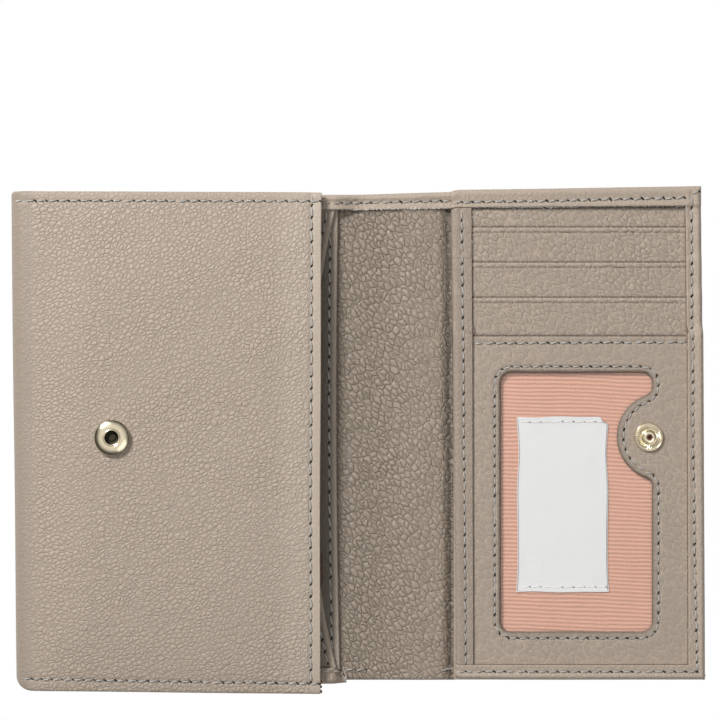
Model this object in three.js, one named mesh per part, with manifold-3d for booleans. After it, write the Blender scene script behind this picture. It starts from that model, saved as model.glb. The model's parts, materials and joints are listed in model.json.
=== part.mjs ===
// A snap-closing leather wallet, lying open on its outside with the inside up.
// Millimetres, +Z up. The origin is on the underside of the spine, halfway between its two folds and
// halfway along it. +X points to the card panel, +Y to the top edge, which carries the long hem.
// Three rigid groups fold like a book: the left block with the note compartment, the spine, and the
// right block with the card slots and the identity-card window.
import * as THREE from "three";
import { mergeVertices } from "three/addons/utils/BufferGeometryUtils.js";
import Module from "manifold-3d";

const wasm = await Module();
wasm.setup();

// Leather, cloth and film thicknesses
const shellLeather = 1.2;
const innerLeather = 0.9;
const pocketLeather = 0.6;
const hemLeather = 0.8;
const turnedLeather = 0.6;
const gussetLeather = 0.5;
const liningCloth = 0.3;
const labelCloth = 0.2;
const windowFilm = 0.25;

// Clearances between plies that are glued or sewn together, and between pieces that pass each other
const plyGap = 0.1;
const slipPocketGap = 0.3;
const idCardGap = 0.7;
const foldGap = 0.3;
const seatGap = 0.1;

// Overall sizes of the open wallet
const shellHeight = 157.6;
const rightDepth = 92.3;
const leftOverhang = 14.8;
const hemWidth = 5.3;
const wallInset = 0.1;

// Front panel of the left block, which is cut longer than the shell behind it
const frontSetback = 8.1;
const frontTopShort = 0.3;
const frontBottomLong = 3.2;
const frontRise = 3.1;
const foldRadius = 5.5;
const foldShoulder = 20;
const foldRiseShare = 0.35;
const turnedWidth = 7;
const edgeRound = 0.5;
const foldCorner = 2;
const windowRound = 0.3;

// Dividers and gussets inside the left block
const dividerSetback = 0.15;
const upperDividerSetback = 0.4;
const dividerBow = 8.5;
const dividerBack = 10.5;
const gussetReach = 12;
const gussetBack = 8.5;
const gussetFront = 0.6;
const liningSetback = 2.5;
const liningMargin = 14;

// Card panel of the right block
const cardPanelSetback = 11.1;
const stripWidth = 6.7;
const stripLeather = 0.7;
const slotCount = 3;
const firstSlotDrop = 11.3;
const lastStepExtra = 0.1;
const cardLength = 85.6;
const cardWidth = 54;
const pocketSlack = 1.4;
const creaseOffset = 1.8;
const creaseDepth = 0.15;
const creaseWidth = 0.4;
const stepLead = 0.5;
const stepRamp = 1.5;

// Identity-card window with the half-round tab that carries the stud
const windowSideLap = 2.7;
const windowEndLap = 1.2;
const windowFromEdge = 16.6;
const windowTopMargin = 11.7;
const windowBottomMargin = 16.2;
const windowCorner = 3.2;
const tabRadius = 14.1;
const tabReach = 11.3;
const tabFillet = 2.6;
const tabDrop = 20.6;
const filmMargin = 3;
const labelSideMargin = 4.9;
const labelTopMargin = 13.8;
const labelWidth = 30;
const labelLength = 57.1;
const liningTopGap = 2.3;

// Snap fastener
const studFromEdge = 17.8;
const socketRadius = 5.4;
const socketHeight = 2.5;
const socketMouth = 2.15;
const socketFloor = 0.5;
const springWire = 0.2;
const springGroove = 0.6;
const studRadius = 4.65;
const studFlange = 0.9;
const studBall = 1.95;
const studRise = 1.7;
const studRim = 0.42;
const postRadius = 1.05;
const postHole = 1.2;
const capRadius = 4.4;
const capThickness = 0.7;
const postCapRadius = 3.6;
const postCapThickness = 0.6;
const snapGap = 0.3;

// Facets of round forms
const foldFacets = 10;
const snapFacets = 36;
const serrations = 24;

// Levels of the plies, counted up from the table
const innerBase = shellLeather + plyGap;
const innerTop = innerBase + innerLeather;
const backingBase = innerTop + slipPocketGap;
const backingTop = backingBase + pocketLeather;
const pocketPitch = pocketLeather + plyGap;
const pocketBase = (index) => backingTop + plyGap + index * pocketPitch;
const idLiningBase = pocketBase(slotCount);
const idLiningTop = idLiningBase + liningCloth;
const labelBase = idLiningTop + plyGap;
const filmBase = idLiningTop + idCardGap;
const panelBase = filmBase + windowFilm + plyGap;
const panelTop = panelBase + innerLeather;
const lowerDividerBase = innerTop + plyGap;
const dividerThickness = turnedLeather + innerLeather;
const upperDividerBase = lowerDividerBase + dividerThickness + plyGap;
const dividersTop = upperDividerBase + dividerThickness;
const leftHemBase = dividersTop + plyGap;
const gussetBase = leftHemBase + hemLeather + plyGap;
const gussetThickness = 2 * gussetLeather + plyGap;
const frontSeam = gussetBase + gussetThickness + plyGap + turnedLeather + shellLeather;
const frontCrown = frontSeam + frontRise;
const spineHemTop = innerTop + plyGap + hemLeather;

// Closed, the stud's flange meets the socket's face, which sets the distance between the two folds
const socketBase = frontCrown + seatGap;
const studBase = panelTop + seatGap;
const closedThickness = socketBase + socketHeight + snapGap + studFlange + studBase;
const hingeSpan = closedThickness - shellLeather;
const hingeX = hingeSpan / 2;
const hingeClear = spineHemTop - shellLeather / 2 + foldGap;
const shellEnd = hingeX + shellLeather / 2 + foldGap;
const spineEnd = hingeX - shellLeather / 2 - foldGap;
const coverPlyEnd = hingeX + hingeClear;

const halfHeight = shellHeight / 2;
const frontTopEdge = halfHeight - frontTopShort;
const frontBottomEdge = -halfHeight - frontBottomLong;
const rightEdge = hingeX + rightDepth;
const foldOuter = -(rightEdge + leftOverhang);
const foldCentre = foldOuter + foldRadius;
const frontEdge = -(hingeX + frontSetback);
const plyEnd = halfHeight - hemLeather - wallInset;
const cardPanelEdge = hingeX + cardPanelSetback;
const cardPlyLeft = cardPanelEdge + stripLeather + wallInset;
const cardPlyRight = rightEdge - hemLeather - wallInset;
const studX = rightEdge - studFromEdge;
const socketX = -studX;
const windowRight = rightEdge - windowFromEdge;
const windowLeft = windowRight - cardWidth + 2 * windowSideLap;
const windowBottom = -halfHeight + windowBottomMargin;
const windowTop = windowBottom + cardLength - 2 * windowEndLap;
const snapY = windowTop - tabDrop;
const idPanelEdge = windowTop + windowTopMargin;
const firstSlotEdge = halfHeight - firstSlotDrop;
const slotPitch = (firstSlotEdge - idPanelEdge) / (slotCount + lastStepExtra);
const slotEdges = Array.from({ length: slotCount }, (_, slot) => firstSlotEdge - slot * slotPitch);
const labelLeft = windowLeft + labelSideMargin;
const labelTop = windowTop - labelTopMargin;

const material = (color, roughness, metalness = 0) =>
  new THREE.MeshStandardMaterial({ color, roughness, metalness });
const leather = material(0xb4a697, 0.6);
const innerSkin = material(0xa3937f, 0.6);
const lining = material(0xd9aa94, 0.9);
const labelWhite = material(0xdfdede, 0.8);
const clearFilm = new THREE.MeshStandardMaterial({ color: 0xf2f2f2, roughness: 0.1, transparent: true, opacity: 0.25 });
const brass = material(0xd9c58b, 0.25, 1);

const wallet = new THREE.Group();

function addPiece(name, geometry, finish) {
  const mesh = new THREE.Mesh(geometry, finish);
  mesh.name = name;
  wallet.add(mesh);
}

// A closed geometry as a manifold-3d solid, and back again
function toSolid(geometry) {
  const bare = geometry.clone();
  for (const attribute of Object.keys(bare.attributes)) {
    if (attribute !== "position") bare.deleteAttribute(attribute);
  }
  const merged = mergeVertices(bare, 1e-4);
  return new wasm.Manifold(
    new wasm.Mesh({
      numProp: 3,
      vertProperties: merged.attributes.position.array,
      triVerts: new Uint32Array(merged.index.array),
    }),
  );
}

function toGeometry(solid) {
  const mesh = solid.getMesh();
  const geometry = new THREE.BufferGeometry();
  geometry.setAttribute("position", new THREE.BufferAttribute(new Float32Array(mesh.vertProperties), 3));
  geometry.setIndex(new THREE.BufferAttribute(new Uint32Array(mesh.triVerts), 1));
  const faceted = geometry.toNonIndexed();
  faceted.computeVertexNormals();
  return faceted;
}

function joined(...geometries) {
  return toGeometry(geometries.map(toSolid).reduce((sum, next) => sum.add(next)));
}

function drilled(geometry, tool) {
  return toGeometry(toSolid(geometry).subtract(toSolid(tool)));
}

// Joins equal rings of points into one closed skin. `flatten` gives a ring's own two coordinates.
function loft(rings, flatten) {
  const ringSize = rings[0].length;
  const positions = rings.flat().flatMap((point) => [point.x, point.y, point.z]);
  const index = [];
  for (let ring = 0; ring < rings.length - 1; ring++) {
    for (let side = 0; side < ringSize; side++) {
      const here = ring * ringSize + side;
      const next = ring * ringSize + ((side + 1) % ringSize);
      index.push(here, next, next + ringSize, here, next + ringSize, here + ringSize);
    }
  }
  const lastRing = (rings.length - 1) * ringSize;
  const outline = rings[0].map(flatten);
  const clockwise = THREE.ShapeUtils.isClockWise(outline);
  for (const cap of THREE.ShapeUtils.triangulateShape(outline, [])) {
    const [a, b, c] = clockwise ? cap.reverse() : cap;
    index.push(c, b, a, lastRing + a, lastRing + b, lastRing + c);
  }
  const geometry = new THREE.BufferGeometry();
  geometry.setAttribute("position", new THREE.Float32BufferAttribute(positions, 3));
  geometry.setIndex(enclosedVolume(positions, index) < 0 ? index.reverse() : index);
  geometry.computeVertexNormals();
  return geometry;
}

function enclosedVolume(positions, index) {
  const corner = (at) => new THREE.Vector3().fromArray(positions, 3 * index[at]);
  let volume = 0;
  for (let at = 0; at < index.length; at += 3) {
    volume += corner(at).dot(corner(at + 1).cross(corner(at + 2))) / 6;
  }
  return volume;
}

// Lofts along Y through sections given as [x, z] points, and along X through [y, z] points
function loftAlongY(stations, sectionAt) {
  const rings = stations.map((y) => sectionAt(y).map(([x, z]) => new THREE.Vector3(x, y, z)));
  return loft(rings, (point) => new THREE.Vector2(point.x, point.z));
}

function loftAlongX(stations, sectionAt) {
  const rings = stations.map((x) => sectionAt(x).map(([y, z]) => new THREE.Vector3(x, y, z)));
  return loft(rings, (point) => new THREE.Vector2(point.y, point.z));
}

function rectangle(left, right, bottom, top) {
  const shape = new THREE.Shape();
  shape.moveTo(left, bottom);
  shape.lineTo(right, bottom);
  shape.lineTo(right, top);
  shape.lineTo(left, top);
  shape.closePath();
  return shape;
}

// A flat ply of leather or cloth cut to an outline, its underside at `base`, with its edges eased
function flatPly(outline, base, thickness, ease = 0) {
  const geometry = new THREE.ExtrudeGeometry(outline, {
    depth: thickness - 2 * ease,
    bevelEnabled: ease > 0,
    bevelThickness: ease,
    bevelSize: ease,
    bevelOffset: -ease,
    bevelSegments: 2,
    curveSegments: 12,
  });
  return geometry.translate(0, 0, base + ease);
}

// Points of an arc about (u, v) from one angle to another, in degrees, as [u, v] pairs
function arcPoints(u, v, radiusU, radiusV, fromDegrees, toDegrees, facets) {
  return Array.from({ length: facets + 1 }, (_, step) => {
    const angle = THREE.MathUtils.degToRad(fromDegrees + ((toDegrees - fromDegrees) * step) / facets);
    return [u + radiusU * Math.cos(angle), v + radiusV * Math.sin(angle)];
  });
}

// Section of a shell edge turned up and over the plies: a wall at the outer edge and a leaf on top.
// `outer` is the edge, `inward` is -1 or +1, `under` is the leaf's underside, `foot` the wall's foot.
function turnedEdge(outer, inward, width, thickness, under, foot = 0) {
  const top = under + thickness;
  const round = Math.min(1.6, (top - foot) / 2);
  const crown = arcPoints(round, top - round, round, round, 180, 90, 4);
  const leaf = [
    [width - edgeRound / 2, top],
    [width, top - edgeRound / 2],
    [width, under],
    [thickness, under],
    [thickness, foot],
    [edgeRound, foot],
    [0, foot + edgeRound],
  ];
  return [...crown, ...leaf].map(([u, z]) => [outer + inward * u, z]);
}

// Section of a divider or slot edge: a ply whose free edge is turned under, rounded at `edge`
function turnedPly(back, edge, base, plyThickness, turnedThickness, turned) {
  const radius = (plyThickness + turnedThickness) / 2;
  const nose = arcPoints(edge - radius, base + radius, radius, radius, -90, 90, 4);
  return [
    [back, base + turnedThickness],
    [edge - turned, base + turnedThickness],
    [edge - turned, base],
    ...nose,
    [back, base + plyThickness + turnedThickness],
  ];
}

// Left block: shell behind, fold at the far left, front panel above

const crownShare = (v) => 1 - v ** 4;
const smooth = (t) => THREE.MathUtils.smoothstep(t, 0, 1);
const riseShare = (x) => foldRiseShare + (1 - foldRiseShare) * smooth((x - foldCentre) / foldShoulder);
const frontTop = (x, v) => frontSeam + frontRise * crownShare(v) * riseShare(x);

const frontMiddle = (frontTopEdge + frontBottomEdge) / 2;
const frontHalf = (frontTopEdge - frontBottomEdge) / 2;

// A line through the left cover at the share v of its height, `inset` below its outer face
function coverLine(v, inset, frontEnd) {
  const height = frontTop(foldCentre, v);
  const frontStations = [2, 5, 9, 14, foldShoulder].map((step) => foldCentre + step);
  const fold = arcPoints(foldCentre, height / 2, foldRadius - inset, height / 2 - inset, -90, -270, foldFacets);
  const front = [...frontStations, frontEnd].map((x) => [x, frontTop(x, v) - inset]);
  return [...fold, ...front];
}

// The front panel is longer than the shell, so Y changes along the line from shell to front
function coverPoint([x, z], v, height) {
  const share = smooth(z / height);
  const middle = THREE.MathUtils.lerp(0, frontMiddle, share);
  const half = THREE.MathUtils.lerp(halfHeight, frontHalf, share);
  return new THREE.Vector3(x, middle + half * v, z);
}

// The fold's corners are rounded off, so its points near an end draw in towards its centre
function cornerInset(x, v) {
  const edge = Math.min((1 - Math.abs(v)) * frontHalf, foldCorner);
  const inset = foldCorner - Math.sqrt(foldCorner ** 2 - (foldCorner - edge) ** 2);
  return Math.max(foldCentre - x, 0) * (inset / foldRadius);
}

function coverSheet() {
  const turnedShare = 1 - turnedWidth / frontHalf;
  const edgeShare = 1 - edgeRound / frontHalf;
  const inner = [0, 0.25, 0.45, 0.62, 0.76, 0.86, turnedShare - 0.01];
  const outer = [turnedShare, 0.96, 0.978, 0.988, edgeShare, 1];
  const positive = [...inner, ...outer];
  const shares = [...positive.slice(1).reverse().map((v) => -v), ...positive];
  const rings = shares.map((v) => {
    const atRim = Math.abs(v) === 1 ? edgeRound : 0;
    const turned = Math.abs(v) >= turnedShare ? turnedLeather : 0;
    const height = frontTop(foldCentre, v);
    const outside = coverLine(v, 0, frontEdge);
    const inside = coverLine(v, shellLeather, frontEdge);
    const lowered = outside.map(([x, z]) => [x, z > height / 2 ? z - atRim : z]);
    const raised = inside.map(([x, z]) => {
      const share = smooth((x - foldCentre) / 4) * (z > height / 2 ? 1 : 0);
      return [x, z + (atRim - turned) * share];
    });
    const line = [[-shellEnd, 0], ...lowered, ...raised.reverse(), [-shellEnd, shellLeather]];
    return line.map(([x, z]) => coverPoint([x + cornerInset(x, v), z], v, height));
  });
  return loft(rings, (point) => new THREE.Vector2(point.x, point.z));
}

function leftCover() {
  const hems = [1, -1].map((side) =>
    loftAlongX([foldCentre, -coverPlyEnd], () =>
      turnedEdge(side * halfHeight, -side, hemWidth, hemLeather, leftHemBase),
    ),
  );
  const body = joined(coverSheet(), ...hems);
  return drilled(body, snapHole(socketX, frontCrown));
}

function compartmentLining() {
  const reach = halfHeight - liningMargin;
  const base = shellLeather + plyGap;
  const stations = Array.from({ length: 9 }, (_, step) => reach * (step / 4 - 1));
  const frontEnd = frontEdge - liningSetback;
  const section = (y) => {
    const v = (y - frontMiddle) / frontHalf;
    const aboveDividers = ([, z]) => z > leftHemBase;
    const upper = coverLine(v, base, frontEnd).slice(foldFacets / 2);
    const lower = coverLine(v, base + liningCloth, frontEnd).slice(foldFacets / 2);
    return [...upper.filter(aboveDividers), ...lower.filter(aboveDividers).reverse()];
  };
  return drilled(loftAlongY(stations, section), snapHole(socketX, frontCrown));
}

function lowerDivider() {
  const edge = -coverPlyEnd - dividerSetback;
  const section = turnedPly(foldOuter + dividerBack, edge, lowerDividerBase, innerLeather, turnedLeather, turnedWidth);
  return loftAlongY([-plyEnd, plyEnd], () => section);
}

// The upper divider's free edge bows back under the front panel between its two sewn ends
function upperDivider() {
  const end = -coverPlyEnd - upperDividerSetback;
  const stations = Array.from({ length: 17 }, (_, step) => plyEnd * (step / 8 - 1));
  return loftAlongY(stations, (y) => {
    const bow = dividerBow * (1 - Math.abs(y / plyEnd) ** 2.2);
    const back = foldOuter + dividerBack;
    return turnedPly(back, end - bow, upperDividerBase, innerLeather, turnedLeather, turnedWidth);
  });
}

// A strip folded flat along its length, between the shell's hem and the front panel's turned edge
function gusset(side) {
  const outer = side * (halfHeight - hemLeather);
  const fold = outer - side * gussetReach;
  const radius = gussetThickness / 2;
  const upperLeaf = gussetBase + gussetLeather + plyGap;
  const nose = arcPoints(0, gussetBase + radius, radius, radius, -90, -270, 4);
  const section = [
    [outer, gussetBase],
    ...nose.map(([u, z]) => [fold + side * (radius + u), z]),
    [outer, gussetBase + gussetThickness],
    [outer, upperLeaf],
    [fold + side * 2 * radius, upperLeaf],
    [fold + side * 2 * radius, upperLeaf - plyGap],
    [outer, upperLeaf - plyGap],
  ];
  return loftAlongX([foldOuter + gussetBack, frontEdge - gussetFront], () => section);
}

// Spine: the shell between the two folds, round at both so that it turns inside the covers' ends

function spineCover() {
  const radius = shellLeather / 2;
  const section = [
    ...arcPoints(-hingeX, radius, radius, radius, 270, 90, 6),
    ...arcPoints(hingeX, radius, radius, radius, 90, -90, 6),
  ];
  const plate = loftAlongY([-halfHeight, halfHeight], () => section);
  const hem = loftAlongX([-spineEnd, spineEnd], () =>
    turnedEdge(halfHeight, -1, hemWidth, hemLeather, innerTop + plyGap),
  );
  return joined(plate, hem);
}

// The inner leather turns round the spine's bottom edge, where there is no hem
function innerLeatherSpine() {
  const radius = innerLeather / 2;
  const bottom = -halfHeight + wallInset;
  const section = [
    ...arcPoints(bottom + radius, innerBase + radius, radius, radius, 270, 90, 4),
    [plyEnd, innerTop],
    [plyEnd, innerBase],
  ];
  return loftAlongX([-spineEnd, spineEnd], () => section);
}

// Right block: the shell with its edges turned over the card panel

// Underside of a strip that runs over the stepped plies, as [y, level] from bottom to top
function stepLevels(bottom, top) {
  const panelLevel = panelTop + plyGap;
  const levels = [[bottom, panelLevel]];
  [...slotEdges, idPanelEdge].reverse().forEach((edge, step) => {
    const pocketsLeft = slotEdges.length - step;
    const higher = step === 0 ? panelLevel : pocketBase(pocketsLeft + 1);
    levels.push([edge + stepLead, higher], [edge + stepLead + stepRamp, pocketBase(pocketsLeft)]);
  });
  levels.push([top, pocketBase(0)]);
  return new Map(levels);
}

function rightCover() {
  const sheet = flatPly(rectangle(shellEnd, rightEdge - edgeRound, -halfHeight + edgeRound, halfHeight - edgeRound), 0, shellLeather);
  const spineHem = loftAlongX([coverPlyEnd, cardPanelEdge], () =>
    turnedEdge(halfHeight, -1, hemWidth, hemLeather, innerTop + plyGap),
  );
  const topHem = loftAlongX([cardPanelEdge - edgeRound, rightEdge - edgeRound], () =>
    turnedEdge(halfHeight, -1, hemWidth, hemLeather, backingTop + plyGap),
  );
  const bottomHem = loftAlongX([cardPanelEdge, rightEdge - edgeRound], () =>
    turnedEdge(-halfHeight, 1, hemWidth, hemLeather, panelTop + plyGap),
  );
  const levels = stepLevels(-halfHeight, halfHeight);
  const sideHem = loftAlongY([...levels.keys()], (y) =>
    turnedEdge(rightEdge, -1, hemWidth, hemLeather, levels.get(y)),
  );
  return joined(sheet, spineHem, topHem, bottomHem, sideHem);
}

function panelEdgeStrip() {
  const end = halfHeight - hemWidth - wallInset;
  const levels = stepLevels(-end, end);
  return loftAlongY([...levels.keys()], (y) =>
    turnedEdge(cardPanelEdge, 1, stripWidth, stripLeather, levels.get(y), backingBase),
  );
}

// A card pocket: its upper edge is creased, and its foot is one card length below
function cardPocket(index) {
  const base = pocketBase(index);
  const top = base + pocketLeather;
  const edge = slotEdges[index];
  const foot = edge - cardLength - pocketSlack;
  const crease = edge - creaseOffset;
  const section = [
    [foot, base],
    [edge, base],
    [edge, top - creaseDepth],
    [edge - creaseDepth, top],
    [crease, top],
    [crease - creaseWidth / 2, top - creaseDepth],
    [crease - creaseWidth, top],
    [foot, top],
  ];
  return loftAlongX([cardPlyLeft, cardPlyRight], () => section);
}

// The window's outline, its right side broken by the half-round tab round the stud
function windowOutline() {
  const tabX = windowRight - tabReach + tabRadius;
  const inset = tabX - windowRight + tabFillet;
  const reach = Math.sqrt((tabRadius + tabFillet) ** 2 - inset ** 2);
  const swing = Math.atan2(reach, -inset);
  const path = new THREE.Path();
  path.moveTo(windowLeft + windowCorner, windowBottom);
  path.lineTo(windowRight - windowCorner, windowBottom);
  path.absarc(windowRight - windowCorner, windowBottom + windowCorner, windowCorner, -Math.PI / 2, 0);
  path.absarc(windowRight - tabFillet, snapY - reach, tabFillet, 0, Math.PI - swing);
  path.absarc(tabX, snapY, tabRadius, -swing, swing, true);
  path.absarc(windowRight - tabFillet, snapY + reach, tabFillet, swing - Math.PI, 0);
  path.absarc(windowRight - windowCorner, windowTop - windowCorner, windowCorner, 0, Math.PI / 2);
  path.absarc(windowLeft + windowCorner, windowTop - windowCorner, windowCorner, Math.PI / 2, Math.PI);
  path.absarc(windowLeft + windowCorner, windowBottom + windowCorner, windowCorner, Math.PI, 1.5 * Math.PI);
  return path;
}

function circle(x, y, radius) {
  const path = new THREE.Path();
  path.absarc(x, y, radius, 0, 2 * Math.PI);
  return path;
}

function idPanel() {
  const outline = rectangle(cardPlyLeft, cardPlyRight, -plyEnd, idPanelEdge);
  outline.holes.push(windowOutline(), circle(studX, snapY, postHole));
  const sheet = flatPly(outline, panelBase, innerLeather, windowRound);
  const turnedEnd = idPanelEdge - turnedWidth + edgeRound;
  const turnedUnder = rectangle(cardPlyLeft, cardPlyRight, turnedEnd, idPanelEdge);
  return joined(sheet, flatPly(turnedUnder, panelBase - turnedLeather, turnedLeather + innerLeather / 2));
}

function idWindowFilm() {
  const outline = rectangle(
    windowLeft - filmMargin,
    windowRight + filmMargin,
    windowBottom - filmMargin,
    windowTop + filmMargin,
  );
  outline.holes.push(circle(studX, snapY, postCapRadius + plyGap));
  return flatPly(outline, filmBase, windowFilm);
}

// Snap fastener, turned about an upright axis at (x, snapY)

function snapHole(x, level) {
  const hole = new THREE.CylinderGeometry(postHole, postHole, 4 * shellLeather, snapFacets);
  return hole.rotateX(Math.PI / 2).translate(x, snapY, level - shellLeather);
}

function turned(profile, x, base, facets = snapFacets) {
  const points = profile.map(([radius, height]) => new THREE.Vector2(radius, height));
  return new THREE.LatheGeometry(points, facets).rotateX(Math.PI / 2).translate(x, snapY, base);
}

// A ring with a domed face round a deep mouth, and a groove in the mouth for the spring
function snapSocket() {
  const grooveFoot = socketFloor + springGroove;
  const grooveHead = grooveFoot + 2 * springWire + 2 * seatGap;
  const grooveRadius = socketMouth + springGroove;
  const lip = socketMouth + springGroove / 2;
  const shoulder = arcPoints(lip, socketHeight / 2, socketRadius - lip, socketHeight / 2, 0, 90, 6);
  const profile = [
    [postHole, 0],
    [socketRadius - edgeRound, 0],
    [socketRadius, edgeRound],
    ...shoulder,
    [socketMouth, socketHeight - plyGap],
    [socketMouth, grooveHead],
    [grooveRadius, grooveHead],
    [grooveRadius, grooveFoot],
    [socketMouth, grooveFoot],
    [socketMouth, socketFloor],
    [postHole, socketFloor],
    [postHole, 0],
  ];
  return turned(profile, socketX, socketBase);
}

// An open wire ring that rests in the socket's groove
function snapSocketSpring() {
  const radius = socketMouth + springGroove - springWire - seatGap;
  const level = socketBase + socketFloor + springGroove + springWire + seatGap;
  class SpringLine extends THREE.Curve {
    getPoint(t, target = new THREE.Vector3()) {
      const angle = THREE.MathUtils.lerp(0.08, 0.92, t) * 2 * Math.PI;
      return target.set(radius * Math.cos(angle), radius * Math.sin(angle), 0);
    }
  }
  const wire = new THREE.Shape();
  wire.absarc(0, 0, springWire, 0, 2 * Math.PI);
  const geometry = new THREE.ExtrudeGeometry(wire, {
    steps: 20,
    curveSegments: 3,
    extrudePath: new SpringLine(),
  });
  return geometry.translate(socketX, snapY, level);
}

// The cap inside the compartment, with the post that is spread in the socket's floor
function snapSocketCap() {
  const liningUnder = frontCrown - shellLeather - 2 * plyGap - liningCloth;
  const head = socketBase + socketFloor + plyGap - (liningUnder - capThickness);
  const profile = [
    [0, 0],
    [capRadius - edgeRound, 0],
    [capRadius, edgeRound / 2],
    [capRadius, capThickness - plyGap],
    [capRadius - edgeRound, capThickness],
    [postRadius, capThickness],
    [postRadius, head],
    [postHole + plyGap, head],
    [postHole + plyGap, head + plyGap],
    [postRadius, head + 2 * plyGap],
    [0, head + 2 * plyGap],
  ];
  return turned(profile, socketX, liningUnder - capThickness);
}

// A dished flange with a rolled rim and pressed ribs, and the ball that enters the socket
function snapStud() {
  const rim = arcPoints(studRadius - studRim, studFlange - studRim, studRim, studRim, 0, 180, 6);
  const dish = studFlange / 3;
  const ball = arcPoints(0, studFlange + studRise - studBall / 2, studBall, studBall / 2, -30, 50, 6);
  const profile = [
    [postHole, 0],
    [studRadius - edgeRound, 0],
    [studRadius, edgeRound / 2],
    ...rim,
    [studRadius - 2.4 * studRim, dish],
    [studBall + edgeRound, dish],
    [studBall - plyGap, studFlange - plyGap],
    ...ball,
    [postHole, studFlange + studRise],
    [postHole, 0],
  ];
  const geometry = turned(profile, studX, studBase, 2 * serrations);
  const position = geometry.attributes.position;
  for (let at = 0; at < position.count; at++) {
    const spoke = Math.floor(at / profile.length) % 2;
    const inDish = at % profile.length === rim.length + 3;
    if (spoke && inDish) position.setZ(at, position.getZ(at) + dish / 2);
  }
  return geometry;
}

// The eyelet behind the tab: a thin washer with a tube that ends in the stud's mouth
function snapStudPost() {
  const base = panelBase - plyGap - postCapThickness;
  const head = studBase + studFlange + studRise - plyGap - base;
  const profile = [
    [0, 0],
    [postCapRadius - edgeRound, 0],
    [postCapRadius - plyGap, edgeRound / 2],
    [postCapRadius - plyGap, postCapThickness],
    [postRadius, postCapThickness],
    [postRadius, head],
    [postRadius / 2, head],
    [postRadius / 2, head - studRise],
    [0, head - studRise],
  ];
  return turned(profile, studX, base);
}

addPiece("left_cover", leftCover(), leather);
addPiece("compartment_lining", compartmentLining(), lining);
addPiece("divider_upper", upperDivider(), leather);
addPiece("divider_lower", lowerDivider(), leather);
addPiece("gusset_top", gusset(1), leather);
addPiece("gusset_bottom", gusset(-1), leather);
const innerLeft = rectangle(foldOuter + dividerBack, -coverPlyEnd, -plyEnd, plyEnd);
addPiece("inner_leather_left", flatPly(innerLeft, innerBase, innerLeather), innerSkin);
addPiece("snap_socket", snapSocket(), brass);
addPiece("snap_socket_spring", snapSocketSpring(), brass);
addPiece("snap_socket_cap", snapSocketCap(), brass);

addPiece("spine_cover", spineCover(), leather);
addPiece("inner_leather_spine", innerLeatherSpine(), innerSkin);

addPiece("right_cover", rightCover(), leather);
const innerRight = rectangle(coverPlyEnd, cardPlyRight, -plyEnd, plyEnd);
addPiece("inner_leather_right", flatPly(innerRight, innerBase, innerLeather), innerSkin);
const backing = rectangle(cardPlyLeft, cardPlyRight, -plyEnd, plyEnd);
addPiece("card_backing", flatPly(backing, backingBase, pocketLeather), leather);
slotEdges.forEach((_, index) => addPiece(`card_pocket_${index + 1}`, cardPocket(index), leather));
const idLining = rectangle(cardPlyLeft, cardPlyRight, -plyEnd, idPanelEdge - liningTopGap);
addPiece("id_lining", flatPly(idLining, idLiningBase, liningCloth), lining);
const label = rectangle(labelLeft, labelLeft + labelWidth, labelTop - labelLength, labelTop);
addPiece("woven_label", flatPly(label, labelBase, labelCloth), labelWhite);
addPiece("id_window_film", idWindowFilm(), clearFilm);
addPiece("id_panel", idPanel(), leather);
addPiece("panel_edge_strip", panelEdgeStrip(), leather);
addPiece("snap_stud", snapStud(), brass);
addPiece("snap_stud_post", snapStudPost(), brass);

export default wallet;
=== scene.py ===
# Looks of the open leather wallet. Lengths are in millimetres until a mesh is made, in the part's frame.
import json
import math

import bmesh
import bpy
import numpy as np
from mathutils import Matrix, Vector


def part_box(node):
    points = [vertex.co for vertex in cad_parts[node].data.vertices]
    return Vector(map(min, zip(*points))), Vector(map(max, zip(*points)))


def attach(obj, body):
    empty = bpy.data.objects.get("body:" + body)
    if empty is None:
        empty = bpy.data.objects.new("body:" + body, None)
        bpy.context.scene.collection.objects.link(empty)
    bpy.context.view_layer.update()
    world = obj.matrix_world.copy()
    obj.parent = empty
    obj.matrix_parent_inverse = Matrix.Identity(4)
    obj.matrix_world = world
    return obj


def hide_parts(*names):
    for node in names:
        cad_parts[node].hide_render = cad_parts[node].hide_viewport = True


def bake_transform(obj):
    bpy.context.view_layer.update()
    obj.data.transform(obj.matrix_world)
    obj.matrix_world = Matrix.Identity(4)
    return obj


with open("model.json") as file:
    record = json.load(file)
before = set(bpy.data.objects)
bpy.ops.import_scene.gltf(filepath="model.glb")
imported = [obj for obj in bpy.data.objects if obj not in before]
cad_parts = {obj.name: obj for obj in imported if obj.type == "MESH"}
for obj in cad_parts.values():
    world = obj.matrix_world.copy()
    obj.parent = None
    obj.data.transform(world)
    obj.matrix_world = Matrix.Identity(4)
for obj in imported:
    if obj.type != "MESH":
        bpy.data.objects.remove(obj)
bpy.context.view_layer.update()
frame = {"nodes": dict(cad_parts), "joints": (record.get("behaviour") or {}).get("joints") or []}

MM = 0.001

# Camera, which looks straight down
CAMERA_AT = (-6.8, 24.7, 800)
CAMERA_LENS = 123.4
SENSOR = 36

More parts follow.
